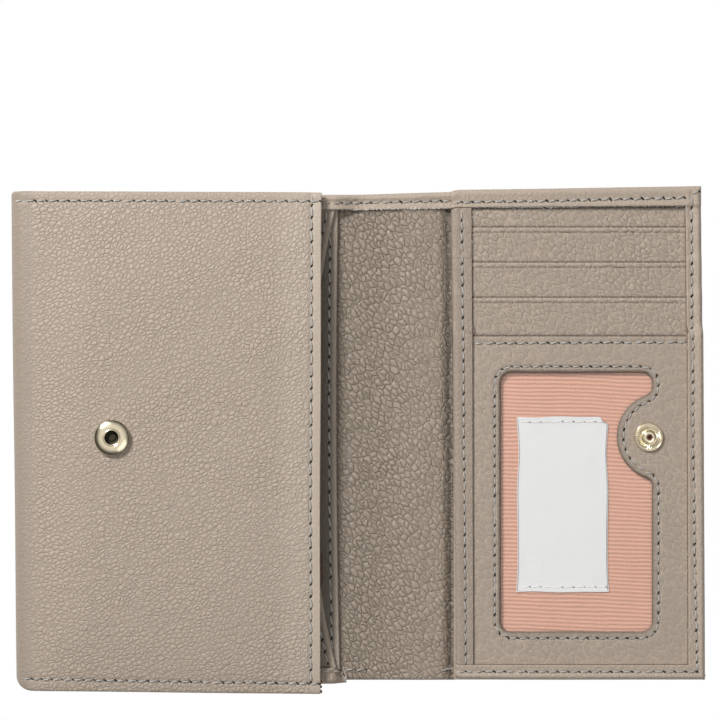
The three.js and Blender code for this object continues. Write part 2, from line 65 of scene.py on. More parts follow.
# Leather colours, as linear light
TAN = (0.405, 0.330, 0.262)
TAN_DARK = (0.322, 0.260, 0.203)
# Lighter tan for cut edges, also used for painted highlights on folded edges
TAN_EDGE = (0.52, 0.44, 0.36)
THREAD = (0.80, 0.78, 0.74)
# Needle holes are flat near-black discs on the leather: painted shade in the holes
HOLE = (0.012, 0.010, 0.008)
PINK = (0.71, 0.362, 0.24)
# The compartment lining as the pink lining looks in deep shade: painted shade on the same pink cloth
LINING_IN_SHADE = (0.085, 0.035, 0.02)
LABEL = (0.80, 0.795, 0.79)
SELVEDGE = (0.22, 0.20, 0.19)
FIBRE = (0.92, 0.89, 0.84)
TORN = (0.26, 0.165, 0.105)
# Dark brown of cut edges, which also stands for the painted shadow line beside them
RAW_EDGE_AND_SHADOW = (0.15, 0.11, 0.08)
POST = (0.19, 0.10, 0.07)
BRASS = (0.84, 0.735, 0.53)

# Seams: how far the leather is drawn in, the stitches, their thread and their needle holes
SEAM_DRAW = 0.28
SEAM_SPREAD = 0.75
STITCH_LONG = 3.9
STITCH_SHORT = 3.45
THREAD_RADIUS = 0.22
STITCH_GAP = 1.15
STITCH_SLANT = 9
THREAD_SIDES = 8
THREAD_STEPS = 7
THREAD_WIDE, THREAD_HIGH = 1.15, 0.8
THREAD_BOW, THREAD_SINK, THREAD_LIFT = 0.1, 0.12, 0.36
HOLE_SHARE = 0.95
HOLE_LIFT = 0.16
HOLE_LENGTH = 0.62
HOLE_WIDTH = 0.29
HOLE_TURN = 32

# Turned and cut edges
HEM_WIDTH = 5.3
STRIP_WIDTH = 6.7
HEM_LEATHER = 0.8
HEM_RISE = HEM_LEATHER + 0.1
HEM_ROUND = 1.5
PLY_ROUND = 0.35
CUT_ROUND = 0.15

# Soft lower edges of plies: how high they start, steps of inset and share of that rise, and their width
FOOT_RISE = 0.6
FOOT_STEPS = ((0, 1), (0.3, 0.3), (1, 0))
BASE_MARGIN = 1.01

# Grids of plies: extra lines beside edges and marks, the least gap between lines, and the least thickness
NEAR_EDGE = (0.05, 0.14, 0.28, 0.5, 0.8, 1.2)
LINE_GAP = 0.04
LEAST_PLY = 0.02


def box(node):
    """Lowest and highest corner of a CAD node, in millimetres."""
    low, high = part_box(node)
    return np.array(low) / MM, np.array(high) / MM


RIGHT_HIGH = box("right_cover")[1]
LEFT_LOW = box("left_cover")[0]
SPINE_HIGH = box("spine_cover")[1]
INNER_LOW, INNER_HIGH = box("inner_leather_spine")
PANEL_LOW, PANEL_HIGH = box("id_panel")
STRIP_LOW, STRIP_HIGH = box("panel_edge_strip")
BACKING_LOW, BACKING_HIGH = box("card_backing")
STUD_LOW, STUD_HIGH = box("snap_stud")
SOCKET_LOW, SOCKET_HIGH = box("snap_socket")
POCKETS = [box(f"card_pocket_{number}") for number in (1, 2, 3)]
SHELL = 1.2
TOP_EDGE = RIGHT_HIGH[1]
# How far both folds lie from the middle
FOLD_AT = abs(frame["joints"][0]["pos_m"][0]) / MM


def smooth(t):
    """Rises softly from 0 to 1 while t does."""
    t = np.clip(t, 0, 1)
    return t * t * (3 - 2 * t)


def bell(distance, width, power=2):
    """1 at no distance, falling to almost 0 at twice the width."""
    return np.exp(-((distance / width) ** power))


def ripple(x, y, size, seed):
    """Soft irregular waves between about -1 and 1, with the given size in millimetres."""
    rng = np.random.default_rng(seed)
    total = 0
    for _ in range(6):
        angle, phase = rng.uniform(0, 2 * math.pi, 2)
        turn = 2 * math.pi / (size * rng.uniform(0.7, 1.8))
        total = total + np.sin((x * math.cos(angle) + y * math.sin(angle)) * turn + phase)
    return total / 4


# Meshes


def paint(piece, name, values):
    """Keeps one number per vertex for the material to read."""
    layer = piece.data.attributes.new(name, "FLOAT", "POINT")
    layer.data.foreach_set("value", np.clip(values, 0, 1).astype(np.float32))


def add_mesh(name, points, faces, material):
    mesh = bpy.data.meshes.new(name)
    mesh.from_pydata((np.asarray(points, float) * MM).tolist(), [], faces)
    mesh.validate()
    mesh.update()
    mesh.shade_smooth()
    mesh.materials.append(material)
    piece = bpy.data.objects.new(name, mesh)
    bpy.context.scene.collection.objects.link(piece)
    return piece


def lines(start, stop, step, marks=()):
    """Grid lines from start to stop, closer together at both ends and at the marks."""
    found = list(np.linspace(start, stop, max(2, round((stop - start) / step)) + 1))
    for mark in (start, stop, *marks):
        found += [mark] + [mark + side * near for near in NEAR_EDGE for side in (-1, 1)]
    kept = [start]
    for value in sorted(found):
        if kept[-1] + LINE_GAP < value < stop - LINE_GAP:
            kept.append(value)
    return np.array([*kept, stop])


def grid_faces(rows, columns, first=0, close=False):
    """Faces of a grid of points that is stored row by row."""
    faces = []
    for row in range(rows - 1):
        for column in range(columns if close else columns - 1):
            a = first + row * columns + column
            b = first + row * columns + (column + 1) % columns
            faces.append((a, b, b + columns, a + columns))
    return faces


def tube_faces(rings, sides, first=0):
    """Faces of a tube of equal rings of points, with both ends closed."""
    faces = grid_faces(rings, sides, first, close=True)
    last = first + (rings - 1) * sides
    faces.append(tuple(range(first + sides - 1, first - 1, -1)))
    faces.append(tuple(range(last, last + sides)))
    return faces


def rim_of(rows, columns):
    """Numbers of the points round a grid: lower, right, upper and left side."""
    ids = np.arange(rows * columns).reshape(rows, columns)
    return [int(spot) for spot in (*ids[0], *ids[1:, -1], *ids[-1, -2::-1], *ids[-2:0:-1, 0])]


def base_faces(xs, rows, first):
    """A ply's base, as strips from its lower to its upper edge."""
    inner = [column for column, x in enumerate(xs) if xs[0] + BASE_MARGIN < x < xs[-1] - BASE_MARGIN]
    turn = 2 * len(xs) + rows - 3
    strips = [(a, b, turn - b, turn - a) for a, b in zip(inner, inner[1:])]
    strips.append((*range(inner[0] + 1), *range(turn - inner[0], 2 * (len(xs) + rows) - 4)))
    strips.append(tuple(range(inner[-1], turn - inner[-1] + 1)))
    return [tuple(first + spot for spot in reversed(strip)) for strip in strips]


def plate(
    name, xs, ys, base, height, material, shift=None, wear_and_highlight=None, shade=None, calm=None, soft=None, under=None
):
    """A solid ply over a grid. `soft` turns its lower edges in on the left, right, bottom and top."""
    x, y = np.meshgrid(xs, ys)
    z = np.maximum(height(x, y), base + LEAST_PLY)
    top = np.stack([x, y, z], axis=-1).reshape(-1, 3)
    rows, columns = x.shape
    rim = rim_of(rows, columns)
    feet = []
    for inset, rise in FOOT_STEPS if soft else ((0, 0),):
        left, right, bottom, back = (inset * side for side in soft or (0, 0, 0, 0))
        foot = top[rim].copy()
        foot[:, 0] = np.clip(foot[:, 0], xs[0] + left, xs[-1] - right)
        foot[:, 1] = np.clip(foot[:, 1], ys[0] + bottom, ys[-1] - back)
        foot[:, 2] = base + rise * FOOT_RISE
        feet.append(foot)
    points = np.vstack([top, *feet])
    faces = grid_faces(rows, columns)
    first, count = len(top), len(rim)
    for step, corner in enumerate(rim):
        after = (step + 1) % count
        faces.append((corner, first + step, first + after, rim[after]))
    faces += [face[::-1] for face in grid_faces(len(feet), count, first, close=True)]
    sides = len(faces)
    faces += base_faces(xs, rows, len(points) - count)
    flat = points[:, :2].T
    if shift:
        points = shift(points)
    piece = add_mesh(name, points, faces, material)
    numbers = range(len(faces))
    piece.data.polygons.foreach_set("use_smooth", [face < sides for face in numbers])
    for layer, share in (("wear_and_highlight", wear_and_highlight), ("shade", shade), ("calm", calm)):
        if share:
            paint(piece, layer, share(*flat))
    if under:
        piece.data.materials.append(under)
        upper = (rows - 1) * (columns - 1)
        piece.data.polygons.foreach_set("material_index", [int(face >= upper) for face in numbers])
    return piece


def tone(piece, layer, share):
    """Paints share(x, y, z), with lengths in millimetres, on a piece's vertices."""
    spots = np.empty(len(piece.data.vertices) * 3)
    piece.data.vertices.foreach_get("co", spots)
    paint(piece, layer, share(*(spots.reshape(-1, 3).T / MM)))


def ring_skin(name, rings, material, close=False):
    """A closed skin through equal rings of points. Unless it closes on itself, both ends are capped."""
    count = len(rings[0])
    last = (len(rings) - 1) * count
    if close:
        faces = grid_faces(len(rings), count, close=True)
        faces += [(last + a, last + (a + 1) % count, (a + 1) % count, a) for a in range(count)]
    else:
        faces = tube_faces(len(rings), count)
    piece = add_mesh(name, np.vstack(rings), faces, material)
    outwards(piece)
    return piece


def outwards(piece):
    skin = bmesh.new()
    skin.from_mesh(piece.data)
    bmesh.ops.recalc_face_normals(skin, faces=skin.faces)
    skin.to_mesh(piece.data)
    skin.free()


def join(name, pieces):
    """One object made of several meshes with their materials."""
    bpy.ops.object.select_all(action="DESELECT")
    for piece in pieces:
        piece.select_set(True)
    bpy.context.view_layer.objects.active = pieces[0]
    bpy.ops.object.join()
    pieces[0].name = name
    return pieces[0]


def flat_at(level):
    """A height function that has the same value everywhere."""
    return lambda x, y: level + 0 * x


def rounding(distance, radius):
    """How far a face drops at this distance from an edge of the given radius."""
    reach = np.clip(radius - distance, 0, radius)
    return radius - np.sqrt(np.maximum(radius**2 - reach**2, 0))


def seam_distance(x, y, seam):
    """Distance to a seam, and the length along it at the nearest point."""
    best = np.full(np.shape(x), 1e9)
    along = np.zeros(np.shape(x))
    run = 0
    for (x0, y0), (x1, y1) in zip(seam[:-1], seam[1:]):
        length = math.hypot(x1 - x0, y1 - y0)
        t = np.clip(((x - x0) * (x1 - x0) + (y - y0) * (y1 - y0)) / length**2, 0, 1)
        distance = np.hypot(x - x0 - t * (x1 - x0), y - y0 - t * (y1 - y0))
        along = np.where(distance < best, run + t * length, along)
        best = np.minimum(best, distance)
        run += length
    return best, along


def drawn_in(x, y, seams):
    """How far the stitches draw the leather in, most at their holes."""
    depth = 0
    for seam, pitch in seams:
        distance, along = seam_distance(x, y, seam)
        pull = 0.7 + 0.3 * np.cos(2 * math.pi * along / pitch)
        depth = depth + SEAM_DRAW * pull * bell(distance, SEAM_SPREAD)
    return depth


class EdgeShift:
    """Moves a block's edges a little, as the real one isn't quite square. Each edge has two ends."""

    def __init__(self, low, high, left, right, bottom, top, reach=10, corner=0):
        self.low, self.high, self.reach = low, high, reach
        self.left, self.right, self.bottom, self.top = left, right, bottom, top
        self.corner = corner

    def __call__(self, points):
        moved = np.array(points, float)
        x, y = moved[:, 0].copy(), moved[:, 1].copy()
        across = np.clip((x - self.low[0]) / (self.high[0] - self.low[0]), 0, 1)
        up = np.clip((y - self.low[1]) / (self.high[1] - self.low[1]), 0, 1)
        near = [1 - smooth((x - self.low[0]) / self.reach), 1 - smooth((self.high[0] - x) / self.reach)]
        level = [1 - smooth((y - self.low[1]) / self.reach), 1 - smooth((self.high[1] - y) / self.reach)]
        for weight, (start, end) in zip(near, (self.left, self.right)):
            moved[:, 0] += weight * (start + (end - start) * up)
        for weight, (start, end) in zip(level, (self.bottom, self.top)):
            moved[:, 1] += weight * (start + (end - start) * across)
        moved[:, 1] -= self.corner * bell(x - self.low[0], 1.1) * (level[1] - level[0])
        wave = 0.12 * ripple(x, y, 38, 3)
        moved[:, 0] += wave * (near[0] + near[1])
        moved[:, 1] += 0.1 * ripple(y, x, 31, 4) * (level[0] + level[1])
        return moved


# Materials


# Scale of a wave texture with one band in one unit of length
WAVE_UNIT = 0.31416


class Nodes:
    """A node material under construction."""

    def __init__(self, name):
        self.material = bpy.data.materials.new(name)
        self.material.use_nodes = True
        self.tree = self.material.node_tree
        self.shader = self.tree.nodes["Principled BSDF"]

    def add(self, kind, **values):
        node = self.tree.nodes.new("ShaderNode" + kind)
        for name, value in values.items():
            if hasattr(node, name):
                setattr(node, name, value)
            else:
                node.inputs[name.replace("_", " ")].default_value = value
        return node

    def link(self, source, target):
        self.tree.links.new(source, target)

    def maths(self, operation, first, second=0.0, clamp=False):
        node = self.add("Math", operation=operation, use_clamp=clamp)
        for socket, value in zip(node.inputs, (first, second)):
            if isinstance(value, (int, float)):
                socket.default_value = value
            else:
                self.link(value, socket)
        return node.outputs[0]

    def mapped(self, scale, turn=0.0):
        """Object coordinates, turned about Z in degrees and scaled to cells per metre."""
        place = self.add("TexCoord")
        mapping = self.add("Mapping")
        mapping.vector_type = "TEXTURE"
        mapping.inputs["Rotation"].default_value[2] = math.radians(turn)
        mapping.inputs["Scale"].default_value = [MM * size for size in scale]
        self.link(place.outputs["Object"], mapping.inputs["Vector"])
        return mapping.outputs[0]

    def warped(self, vector, amount, scale):
        """Coordinates shaken by soft noise, so that cells are uneven."""
        noise = self.add("TexNoise", Scale=scale, Detail=2.0)
        self.link(vector, noise.inputs["Vector"])
        offset = self.add("VectorMath", operation="MULTIPLY_ADD")
        self.link(noise.outputs["Color"], offset.inputs[0])
        offset.inputs[1].default_value = (amount,) * 3
        self.link(vector, offset.inputs[2])
        return offset.outputs[0]

    def noise(self, vector, scale, detail=3.0, rough=0.5):
        node = self.add("TexNoise", Scale=scale, Detail=detail, Roughness=rough)
        self.link(vector, node.inputs["Vector"])
        return node.outputs["Fac"]

    def from_edge(self, vector):
        """Distance from the lines between cells."""
        node = self.add("TexVoronoi", feature="DISTANCE_TO_EDGE", Scale=1.0)
        self.link(vector, node.inputs["Vector"])
        return node.outputs["Distance"]

    def step(self, value, reach):
        """Rises softly from 0 to 1 while the value goes from 0 to `reach`."""
        ramp = self.add("MapRange", interpolation_type="SMOOTHSTEP")
        self.link(value, ramp.inputs["Value"])
        ramp.inputs["From Max"].default_value = reach
        return ramp.outputs["Result"]

    def domes(self, vector):
        """Rounded tops: 1 in the middle of a cell, falling towards its sides."""
        node = self.add("TexVoronoi", feature="F1", Scale=1.0)
        self.link(vector, node.inputs["Vector"])
        square = self.maths("POWER", node.outputs["Distance"], 2.0)
        return self.maths("SUBTRACT", 1.0, square, clamp=True)

    def total(self, *terms):
        """Weighted sum of (weight, value) terms."""
        parts = [self.maths("MULTIPLY", value, weight) for weight, value in terms]
        result = parts[0]
        for part in parts[1:]:
            result = self.maths("ADD", result, part)
        return result

    def mix(self, factor, first, second, blend="MIX"):
        node = self.add("Mix", data_type="RGBA", blend_type=blend)
        for socket, value in zip((node.inputs[0], node.inputs[6], node.inputs[7]), (factor, first, second)):
            if isinstance(value, (int, float)):
                socket.default_value = value
            elif isinstance(value, tuple):
                socket.default_value = (*value, 1)
            else:
                self.link(value, socket)
        return node.outputs[2]

    def bump(self, height, distance, strength=1.0):
        node = self.add("Bump", Strength=strength, Distance=distance * MM)
        self.link(height, node.inputs["Height"])
        self.link(node.outputs[0], self.shader.inputs["Normal"])

    def finish(self, color, rough, **sockets):
        if isinstance(color, tuple):
            self.shader.inputs["Base Color"].default_value = (*color, 1)
        else:
            self.link(color, self.shader.inputs["Base Color"])
        if isinstance(rough, float):
            self.shader.inputs["Roughness"].default_value = rough
        else:
            self.link(rough, self.shader.inputs["Roughness"])
        for name, value in sockets.items():
            self.shader.inputs[name.replace("_", " ")].default_value = value
        return self.material


def tinted(color, share):
    """The same colour, lighter or darker."""
    return tuple(channel * share for channel in color)


def leather(
    name, color, cell, stretch=1.0, turn=0.0, depth=0.3, crease=0.8, fine=0.35, uneven=0.5, shine=0.54
):
    """Grained leather. `cell` is the size of a pebble in millimetres, `stretch` its length over width."""
    make = Nodes(name)
    vector = make.warped(make.mapped((cell, cell * stretch, cell * 2), turn), 0.36, 0.9)
    edge = make.from_edge(vector)
    line = make.step(edge, 0.075)
    small = make.from_edge(make.warped(make.mapped((cell * 0.55, cell * 0.65, cell), turn + 40), 0.4, 0.9))
    patches = make.noise(make.mapped((15, 15, 15), 15), 1.0, 2.0)
    rolling = make.noise(make.mapped((4, 6, 4), turn), 1.0, 1.0)
    sides, pillow = make.step(edge, 0.14), make.step(edge, 0.42)
    pebble = make.total((0.34, sides), (0.36, pillow), (0.3, make.domes(vector)))
    fines = make.total((0.7, make.step(small, 0.25)), (0.3, make.step(small, 0.07)))
    weight = make.total((2 * uneven, patches))
    weight = make.maths("ADD", weight, 1 - uneven)
    rest = make.maths("SUBTRACT", 1.35, weight, clamp=True)
    height = make.maths("MULTIPLY", pebble, weight)
    height = make.maths("ADD", height, make.maths("MULTIPLY", make.maths("MULTIPLY", fines, rest), fine))
    height = make.maths("ADD", height, make.maths("MULTIPLY", rolling, 0.5))
    calm = make.add("Attribute", attribute_name="calm").outputs["Fac"]
    make.bump(make.maths("MULTIPLY", height, make.maths("SUBTRACT", 1.0, calm)), depth)
    # Painted shade in the grain's crease lines, which are tinted darker, or lighter as a painted highlight
    # where crease is above 1; the calm layer hides them.
    creased = make.mix(make.maths("ADD", line, calm, clamp=True), tinted(color, crease), color)
    mottled = make.mix(patches, tinted(color, 0.9), tinted(color, 1.08))
    blended = make.mix(0.4, creased, mottled)
    # Layers painted on the vertices: the lighter one brightens cut edges and paints highlights on folded
    # edges; the shade layer darkens as painted shade and shadow.
    light = make.add("Attribute", attribute_name="wear_and_highlight")
    shade = make.add("Attribute", attribute_name="shade")
    worn_and_lit = make.mix(make.maths("MULTIPLY", light.outputs["Fac"], 0.5), blended, TAN_EDGE)
    shaded = make.mix(shade.outputs["Fac"], worn_and_lit, tinted(color, 0.22))
    rough = make.maths("ADD", make.maths("MULTIPLY", line, -0.14), shine + 0.14)
    return make.finish(shaded, rough, Specular_IOR_Level=0.5)


def smooth_leather(name, color):
    """Leather of the turned hems and strips, pressed nearly smooth."""
    return leather(name, color, 1.2, 1.5, 20, depth=0.14, crease=0.92, shine=0.58)


def thread_material():
    make = Nodes("thread_grey")
    vector = make.mapped((0.35, 0.35, 0.35), 35)
    twist = make.add("TexWave", Scale=1.4, Distortion=1.0)
    make.link(vector, twist.inputs["Vector"])
    make.bump(twist.outputs["Fac"], 0.08)
    color = make.mix(twist.outputs["Fac"], tinted(THREAD, 0.72), tinted(THREAD, 1.12))
    return make.finish(color, 0.75, Sheen_Weight=0.2)


def plain_material(name, color, rough=0.8):
    """A dull material whose tone varies a little."""
    make = Nodes(name)
    patches = make.noise(make.mapped((0.7,) * 3), 1.0)
    return make.finish(make.mix(patches, tinted(color, 0.8), tinted(color, 1.2)), rough)


def hole_material():
    # Painted shade: the near-black of the needle holes.
    make = Nodes("needle_hole")
    color = make.mix(make.noise(make.mapped((0.3,) * 3), 1.0), HOLE, tinted(HOLE, 1.8))
    return make.finish(color, 0.95)


def ribbed_cloth(name, color):
    """Ribbed cloth. The ribs are in the mesh and its 'rib' layer, from which the material paints shade
    between the ribs and highlights on their tops; it adds yarns and stains too.
    """
    make = Nodes(name)
    rib = make.add("Attribute", attribute_name="rib")
    yarn = make.add("TexWave", bands_direction="X", Scale=WAVE_UNIT, Distortion=0.0)
    make.link(make.warped(make.mapped((0.62, 9, 9)), 0.5, 0.4), yarn.inputs["Vector"])
    fuzz_noise = make.noise(make.mapped((0.5, 0.3, 0.5)), 1.0, 3.0)
    stains = make.noise(make.mapped((14, 10, 14), 20), 1.0, 3.0)
    make.bump(make.total((0.5, yarn.outputs["Fac"]), (0.5, fuzz_noise)), 0.12)
    # Painted shade between the ribs and painted highlight on their tops.
    ribs = make.mix(rib.outputs["Fac"], tinted(color, 0.45), tinted(color, 1.18))
    specks = make.mix(fuzz_noise, tinted(color, 0.82), tinted(color, 1.1))
    stained = make.mix(stains, tinted(color, 0.82), tinted(color, 1.16))
    return make.finish(make.mix(0.3, make.mix(0.25, ribs, specks), stained), 0.85, Sheen_Weight=0.2)


def woven_cloth(name, color, pitch, contrast=0.12):
    make = Nodes(name)
    warp = make.add("TexWave", bands_direction="X", Scale=1.0)
    make.link(make.mapped((pitch * 3, 9, 9)), warp.inputs["Vector"])
    weft = make.add("TexWave", bands_direction="Y", Scale=1.0)
    make.link(make.mapped((9, pitch * 3, 9)), weft.inputs["Vector"])
    height = make.maths("MULTIPLY", warp.outputs["Fac"], weft.outputs["Fac"])
    patches = make.noise(make.mapped((6, 6, 6)), 1.0)
    make.bump(height, 0.06)
    body = make.mix(height, tinted(color, 1 - contrast), color)
    shade = make.mix(patches, tinted(color, 0.95), tinted(color, 1.03))
    return make.finish(make.mix(0.4, body, shade), 0.7, Sheen_Weight=0.3)


def brass_material(name, color, gloss=0.12):
    make = Nodes(name)
    marks = make.noise(make.mapped((0.7, 0.7, 0.7)), 1.0, 4.0)
    make.bump(marks, 0.02)
    rough = make.maths("ADD", make.maths("MULTIPLY", marks, 0.14), gloss)
    tone_noise = make.noise(make.mapped((2, 2, 2)), 1.0)
    return make.finish(make.mix(tone_noise, tinted(color, 0.9), tinted(color, 1.08)), rough, Metallic=1.0)


def film_material():
    make = Nodes("clear_film")
    waves = make.noise(make.mapped((25, 40, 25)), 1.0, 1.0)
    make.bump(waves, 0.5)
    clear = make.mix(waves, (0.95, 0.95, 0.95), (1.0, 1.0, 1.0))
    return make.finish(clear, 0.06, Alpha=0.05, Specular_IOR_Level=0.6)


GRAIN_LEFT = leather("leather_front", TAN, 1.28, 1.25, -60, depth=0.25, crease=0.68, shine=0.48)
GRAIN_SPINE = leather(
    "leather_spine", TAN_DARK, 1.5, 1.65, 40, depth=0.55, crease=0.6, uneven=0.35, shine=0.48
)
GRAIN_SLOT = leather("leather_slot", tinted(TAN, 0.88), 1.4, 1.8, 48, depth=0.3, crease=1.3, uneven=0.7)
GRAIN_PANEL = leather("leather_panel", tinted(TAN, 0.87), 1.45, 2.0, 48, depth=0.18, crease=1.3, uneven=0.7)
SMOOTH = smooth_leather("leather_hem", tinted(TAN, 1.03))
SMOOTH_DARK = smooth_leather("leather_divider", tinted(TAN_DARK, 1.0))
STRIP_LEATHER = smooth_leather("leather_strip", tinted(TAN, 0.8))
THREADS = thread_material()
HOLES = hole_material()
PALE_BRASS = brass_material("pale_brass", BRASS)
# Near-black brass: painted shade inside the socket's mouth and on the parts seen through it
SHADED_BRASS = brass_material("shaded_brass", tinted(BRASS, 0.07), 0.5)
BROWN_POST = brass_material("brown_post", POST, 0.5)
PINK_CLOTH = ribbed_cloth("pink_ribbed_cloth", PINK)
LINING_IN_SHADE_CLOTH = woven_cloth("shaded_lining_cloth", LINING_IN_SHADE, 0.5, 0.3)
WHITE_CLOTH = woven_cloth("white_label_cloth", LABEL, 0.45)
FILM = film_material()
FIBRES = plain_material("loose_fibres", FIBRE)
TORN_LEATHER = plain_material("torn_leather", TORN)
CUT_EDGE_AND_SHADOW = plain_material("cut_edge_and_shadow", RAW_EDGE_AND_SHADOW)
SELVEDGE_THREAD = plain_material("selvedge_thread", SELVEDGE)


def dressed(piece, body, slot, *nodes):
    """A piece that rides on its body and stands for its CAD nodes, which it hides. Its finish slot is not
    used.
    """
    if nodes:
        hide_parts(*nodes)
    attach(piece, body)
    return piece


# Stitching


def spots_along(line, spaced):
    """Points [x, y] along a line, at the distances that spaced(length) gives."""
    line = np.array(line, float)
    runs = np.hypot(*np.diff(line, axis=0).T)
    total = np.concatenate([[0], np.cumsum(runs)])
    at = spaced(total[-1])
    return np.stack([np.interp(at, total, line[:, axis]) for axis in (0, 1)], axis=-1)


def resample(seam, pitch):
    """Evenly spaced points along a seam, about one pitch apart, from its start to its end."""
    return spots_along(seam, lambda length: np.linspace(0, length, max(1, round(length / pitch)) + 1))


def thread_rings(start, end, level, size, rng):
    """Points of one slanted, slightly bowed thread between two needle holes."""
    along = end - start
    length = np.hypot(*along)
    along = along / length
    across = np.array([-along[1], along[0]])
    slant = math.tan(math.radians(STITCH_SLANT + rng.normal(0, 1.5)))
    half = (length - STITCH_GAP) / 2
    middle = (start + end) / 2 + across * rng.normal(0, 0.05)
    points = []
    for step in range(THREAD_STEPS):
        t = 2 * step / (THREAD_STEPS - 1) - 1
        thick = size * THREAD_RADIUS * math.sqrt(max(1 - t**4, 0.05)) * (1 + rng.normal(0, 0.05))
        centre = middle + along * half * t + across * slant * half * t
        lift = THREAD_BOW * (1 - t * t) - THREAD_SINK + THREAD_LIFT * size
        for side in range(THREAD_SIDES):
            angle = 2 * math.pi * side / THREAD_SIDES
            flat = centre + across * math.cos(angle) * thick * THREAD_WIDE
            height = level(flat[0], flat[1]) + lift + math.sin(angle) * thick * THREAD_HIGH
            points.append((flat[0], flat[1], height))
    return points


def needle_hole(start, end, level, size, rng):
    """Points of the hole at a thread's end: its rim, turned against the seam, and its middle."""
    along = (end - start) / np.hypot(*(end - start))
    turn = math.radians(-HOLE_TURN + rng.normal(0, 8))
    long = along * math.cos(turn) + np.array([-along[1], along[0]]) * math.sin(turn)
    wide = np.array([-long[1], long[0]])
    grown = size * rng.uniform(0.75, 1.15)
    spots = []
    for angle in 2 * math.pi * np.arange(THREAD_SIDES) / THREAD_SIDES:
        reach = long * math.cos(angle) * HOLE_LENGTH + wide * math.sin(angle) * HOLE_WIDTH
        spots.append(end + grown * reach)
    return [(x, y, level(x, y) + HOLE_LIFT) for x, y in (*spots, end)]


def stitches(name, seam, pitch, level, shift=None, seed=1, size=1):
    """Threads laid along a seam with needle holes between them. level(x, y) is the leather's face."""
    rng = np.random.default_rng(seed)
    marks = resample(seam, pitch)
    points, faces, hole_points, hole_faces = [], [], [], []
    for start, end in zip(marks[:-1], marks[1:]):
        faces += tube_faces(THREAD_STEPS, THREAD_SIDES, len(points))
        points += thread_rings(start, end, level, size, rng)
        if rng.random() < HOLE_SHARE:
            first = len(hole_points)
            hole_points += needle_hole(start, end, level, size, rng)
            for side in range(THREAD_SIDES):
                hole_faces.append((first + side, first + (side + 1) % THREAD_SIDES, first + THREAD_SIDES))
    moved = shift or np.array
    thread = add_mesh(name, moved(points), faces, THREADS)
    outwards(thread)
    return thread, add_mesh(name + "_holes", moved(hole_points), hole_faces, HOLES)


def sewn(name, seam, pitch, level, body, shift=None, seed=1):
    """Stitches that ride on one body."""
    for piece in stitches(name, seam, pitch, level, shift, seed):
        dressed(piece, body, "tan_leather")


# Cords, loose fibres and torn bits


def bend_free(lean):
    """Unit vector across a direction."""
    return np.array([-lean[1], lean[0]]) / np.hypot(*lean)


def cord(name, line, height, radius, material, shift=None):
    """A round cord laid along a line of points."""
    rings = []
    for before, (x, y), after in zip([line[0], *line[:-1]], line, [*line[1:], line[-1]]):
        across = bend_free(np.array(after) - np.array(before))
        ring = []
        for angle in np.linspace(0, 2 * math.pi, CORD_SIDES, endpoint=False):
            side = across * math.cos(angle) * radius
            ring.append((x + side[0], y + side[1], float(height(x, y)) + radius * (0.3 + math.sin(angle))))
        rings.append(shift(ring) if shift else np.array(ring))
    return ring_skin(name, rings, material)


CUT_RADIUS = 0.15
CORD_SIDES = 6
RAW_OUT = 0.05


def raw_edge(name, start, end, height, body, shift=None):
    """The brown cut edge of a turned strip of leather, drawn dark so that it also stands for the painted
    shadow line beside it.
    """
    line = np.linspace(start, end, max(3, round(math.dist(start, end) / 1.5)))
    line = [tuple(spot) for spot in line]
    return dressed(cord(name, line, height, CUT_RADIUS, CUT_EDGE_AND_SHADOW, shift), body, "tan_leather")


FIBRE_STEPS = 5
FIBRE_RADIUS = 0.06
FIBRE_LENGTH = 1.3
FIBRE_LIFT = 0.35
FLAKE_CORNERS = 7
FLAKE_THICKNESS = 0.16


def fuzz(name, start, end, height, count, body, shift=None, seed=1, length=FIBRE_LENGTH):
    """Curled fibres that stick out to the right of a raw edge running from start to end."""
    rng = np.random.default_rng(seed)
    start, end = np.array(start, float), np.array(end, float)
    along = (end - start) / np.hypot(*(end - start))
    out = np.array([along[1], -along[0]])
    points, faces = [], []
    for _ in range(count):
        root = start + (end - start) * rng.random() - out * 0.2
        lean = out * rng.uniform(0.3, 1) + along * rng.normal(0, 0.8)
        bend = np.array([-lean[1], lean[0]]) * rng.normal(0, 0.6)
        reach = length * rng.uniform(0.3, 1)
        faces += tube_faces(FIBRE_STEPS, 3, len(points))
        for step in range(FIBRE_STEPS):
            t = step / (FIBRE_STEPS - 1)
            spot = root + (lean * t + bend * t * t) * reach
            rise = height + FIBRE_LIFT * (1 + math.sin(math.pi * t) - t)
            for turn in range(3):
                angle = 2 * math.pi * turn / 3
                side = bend_free(lean) * math.cos(angle) * FIBRE_RADIUS
                points.append((spot[0] + side[0], spot[1] + side[1], rise + math.sin(angle) * FIBRE_RADIUS))
    piece = add_mesh(name, shift(points) if shift else points, faces, FIBRES)
    outwards(piece)
    return dressed(piece, body, "tan_leather") if body else piece


def flakes(name, spots, size, body, material, seed=1):
    """Small torn scraps: flat uneven wedges at [x, y, z]."""
    rng = np.random.default_rng(seed)
    points, faces = [], []
    for x, y, z in spots:
        x, y = x + rng.normal(0, 0.15), y + rng.normal(0, 0.3)
        faces += tube_faces(2, FLAKE_CORNERS, len(points))
        for level in (0, FLAKE_THICKNESS):
            for corner in range(FLAKE_CORNERS):
                angle = 2 * math.pi * corner / FLAKE_CORNERS
                reach = size * rng.uniform(0.35, 1.15)
                points.append((x + reach * math.cos(angle), y + reach * math.sin(angle), z + level))
    piece = add_mesh(name, points, faces, material)
    outwards(piece)
    return dressed(piece, body, "tan_leather")


# Right block

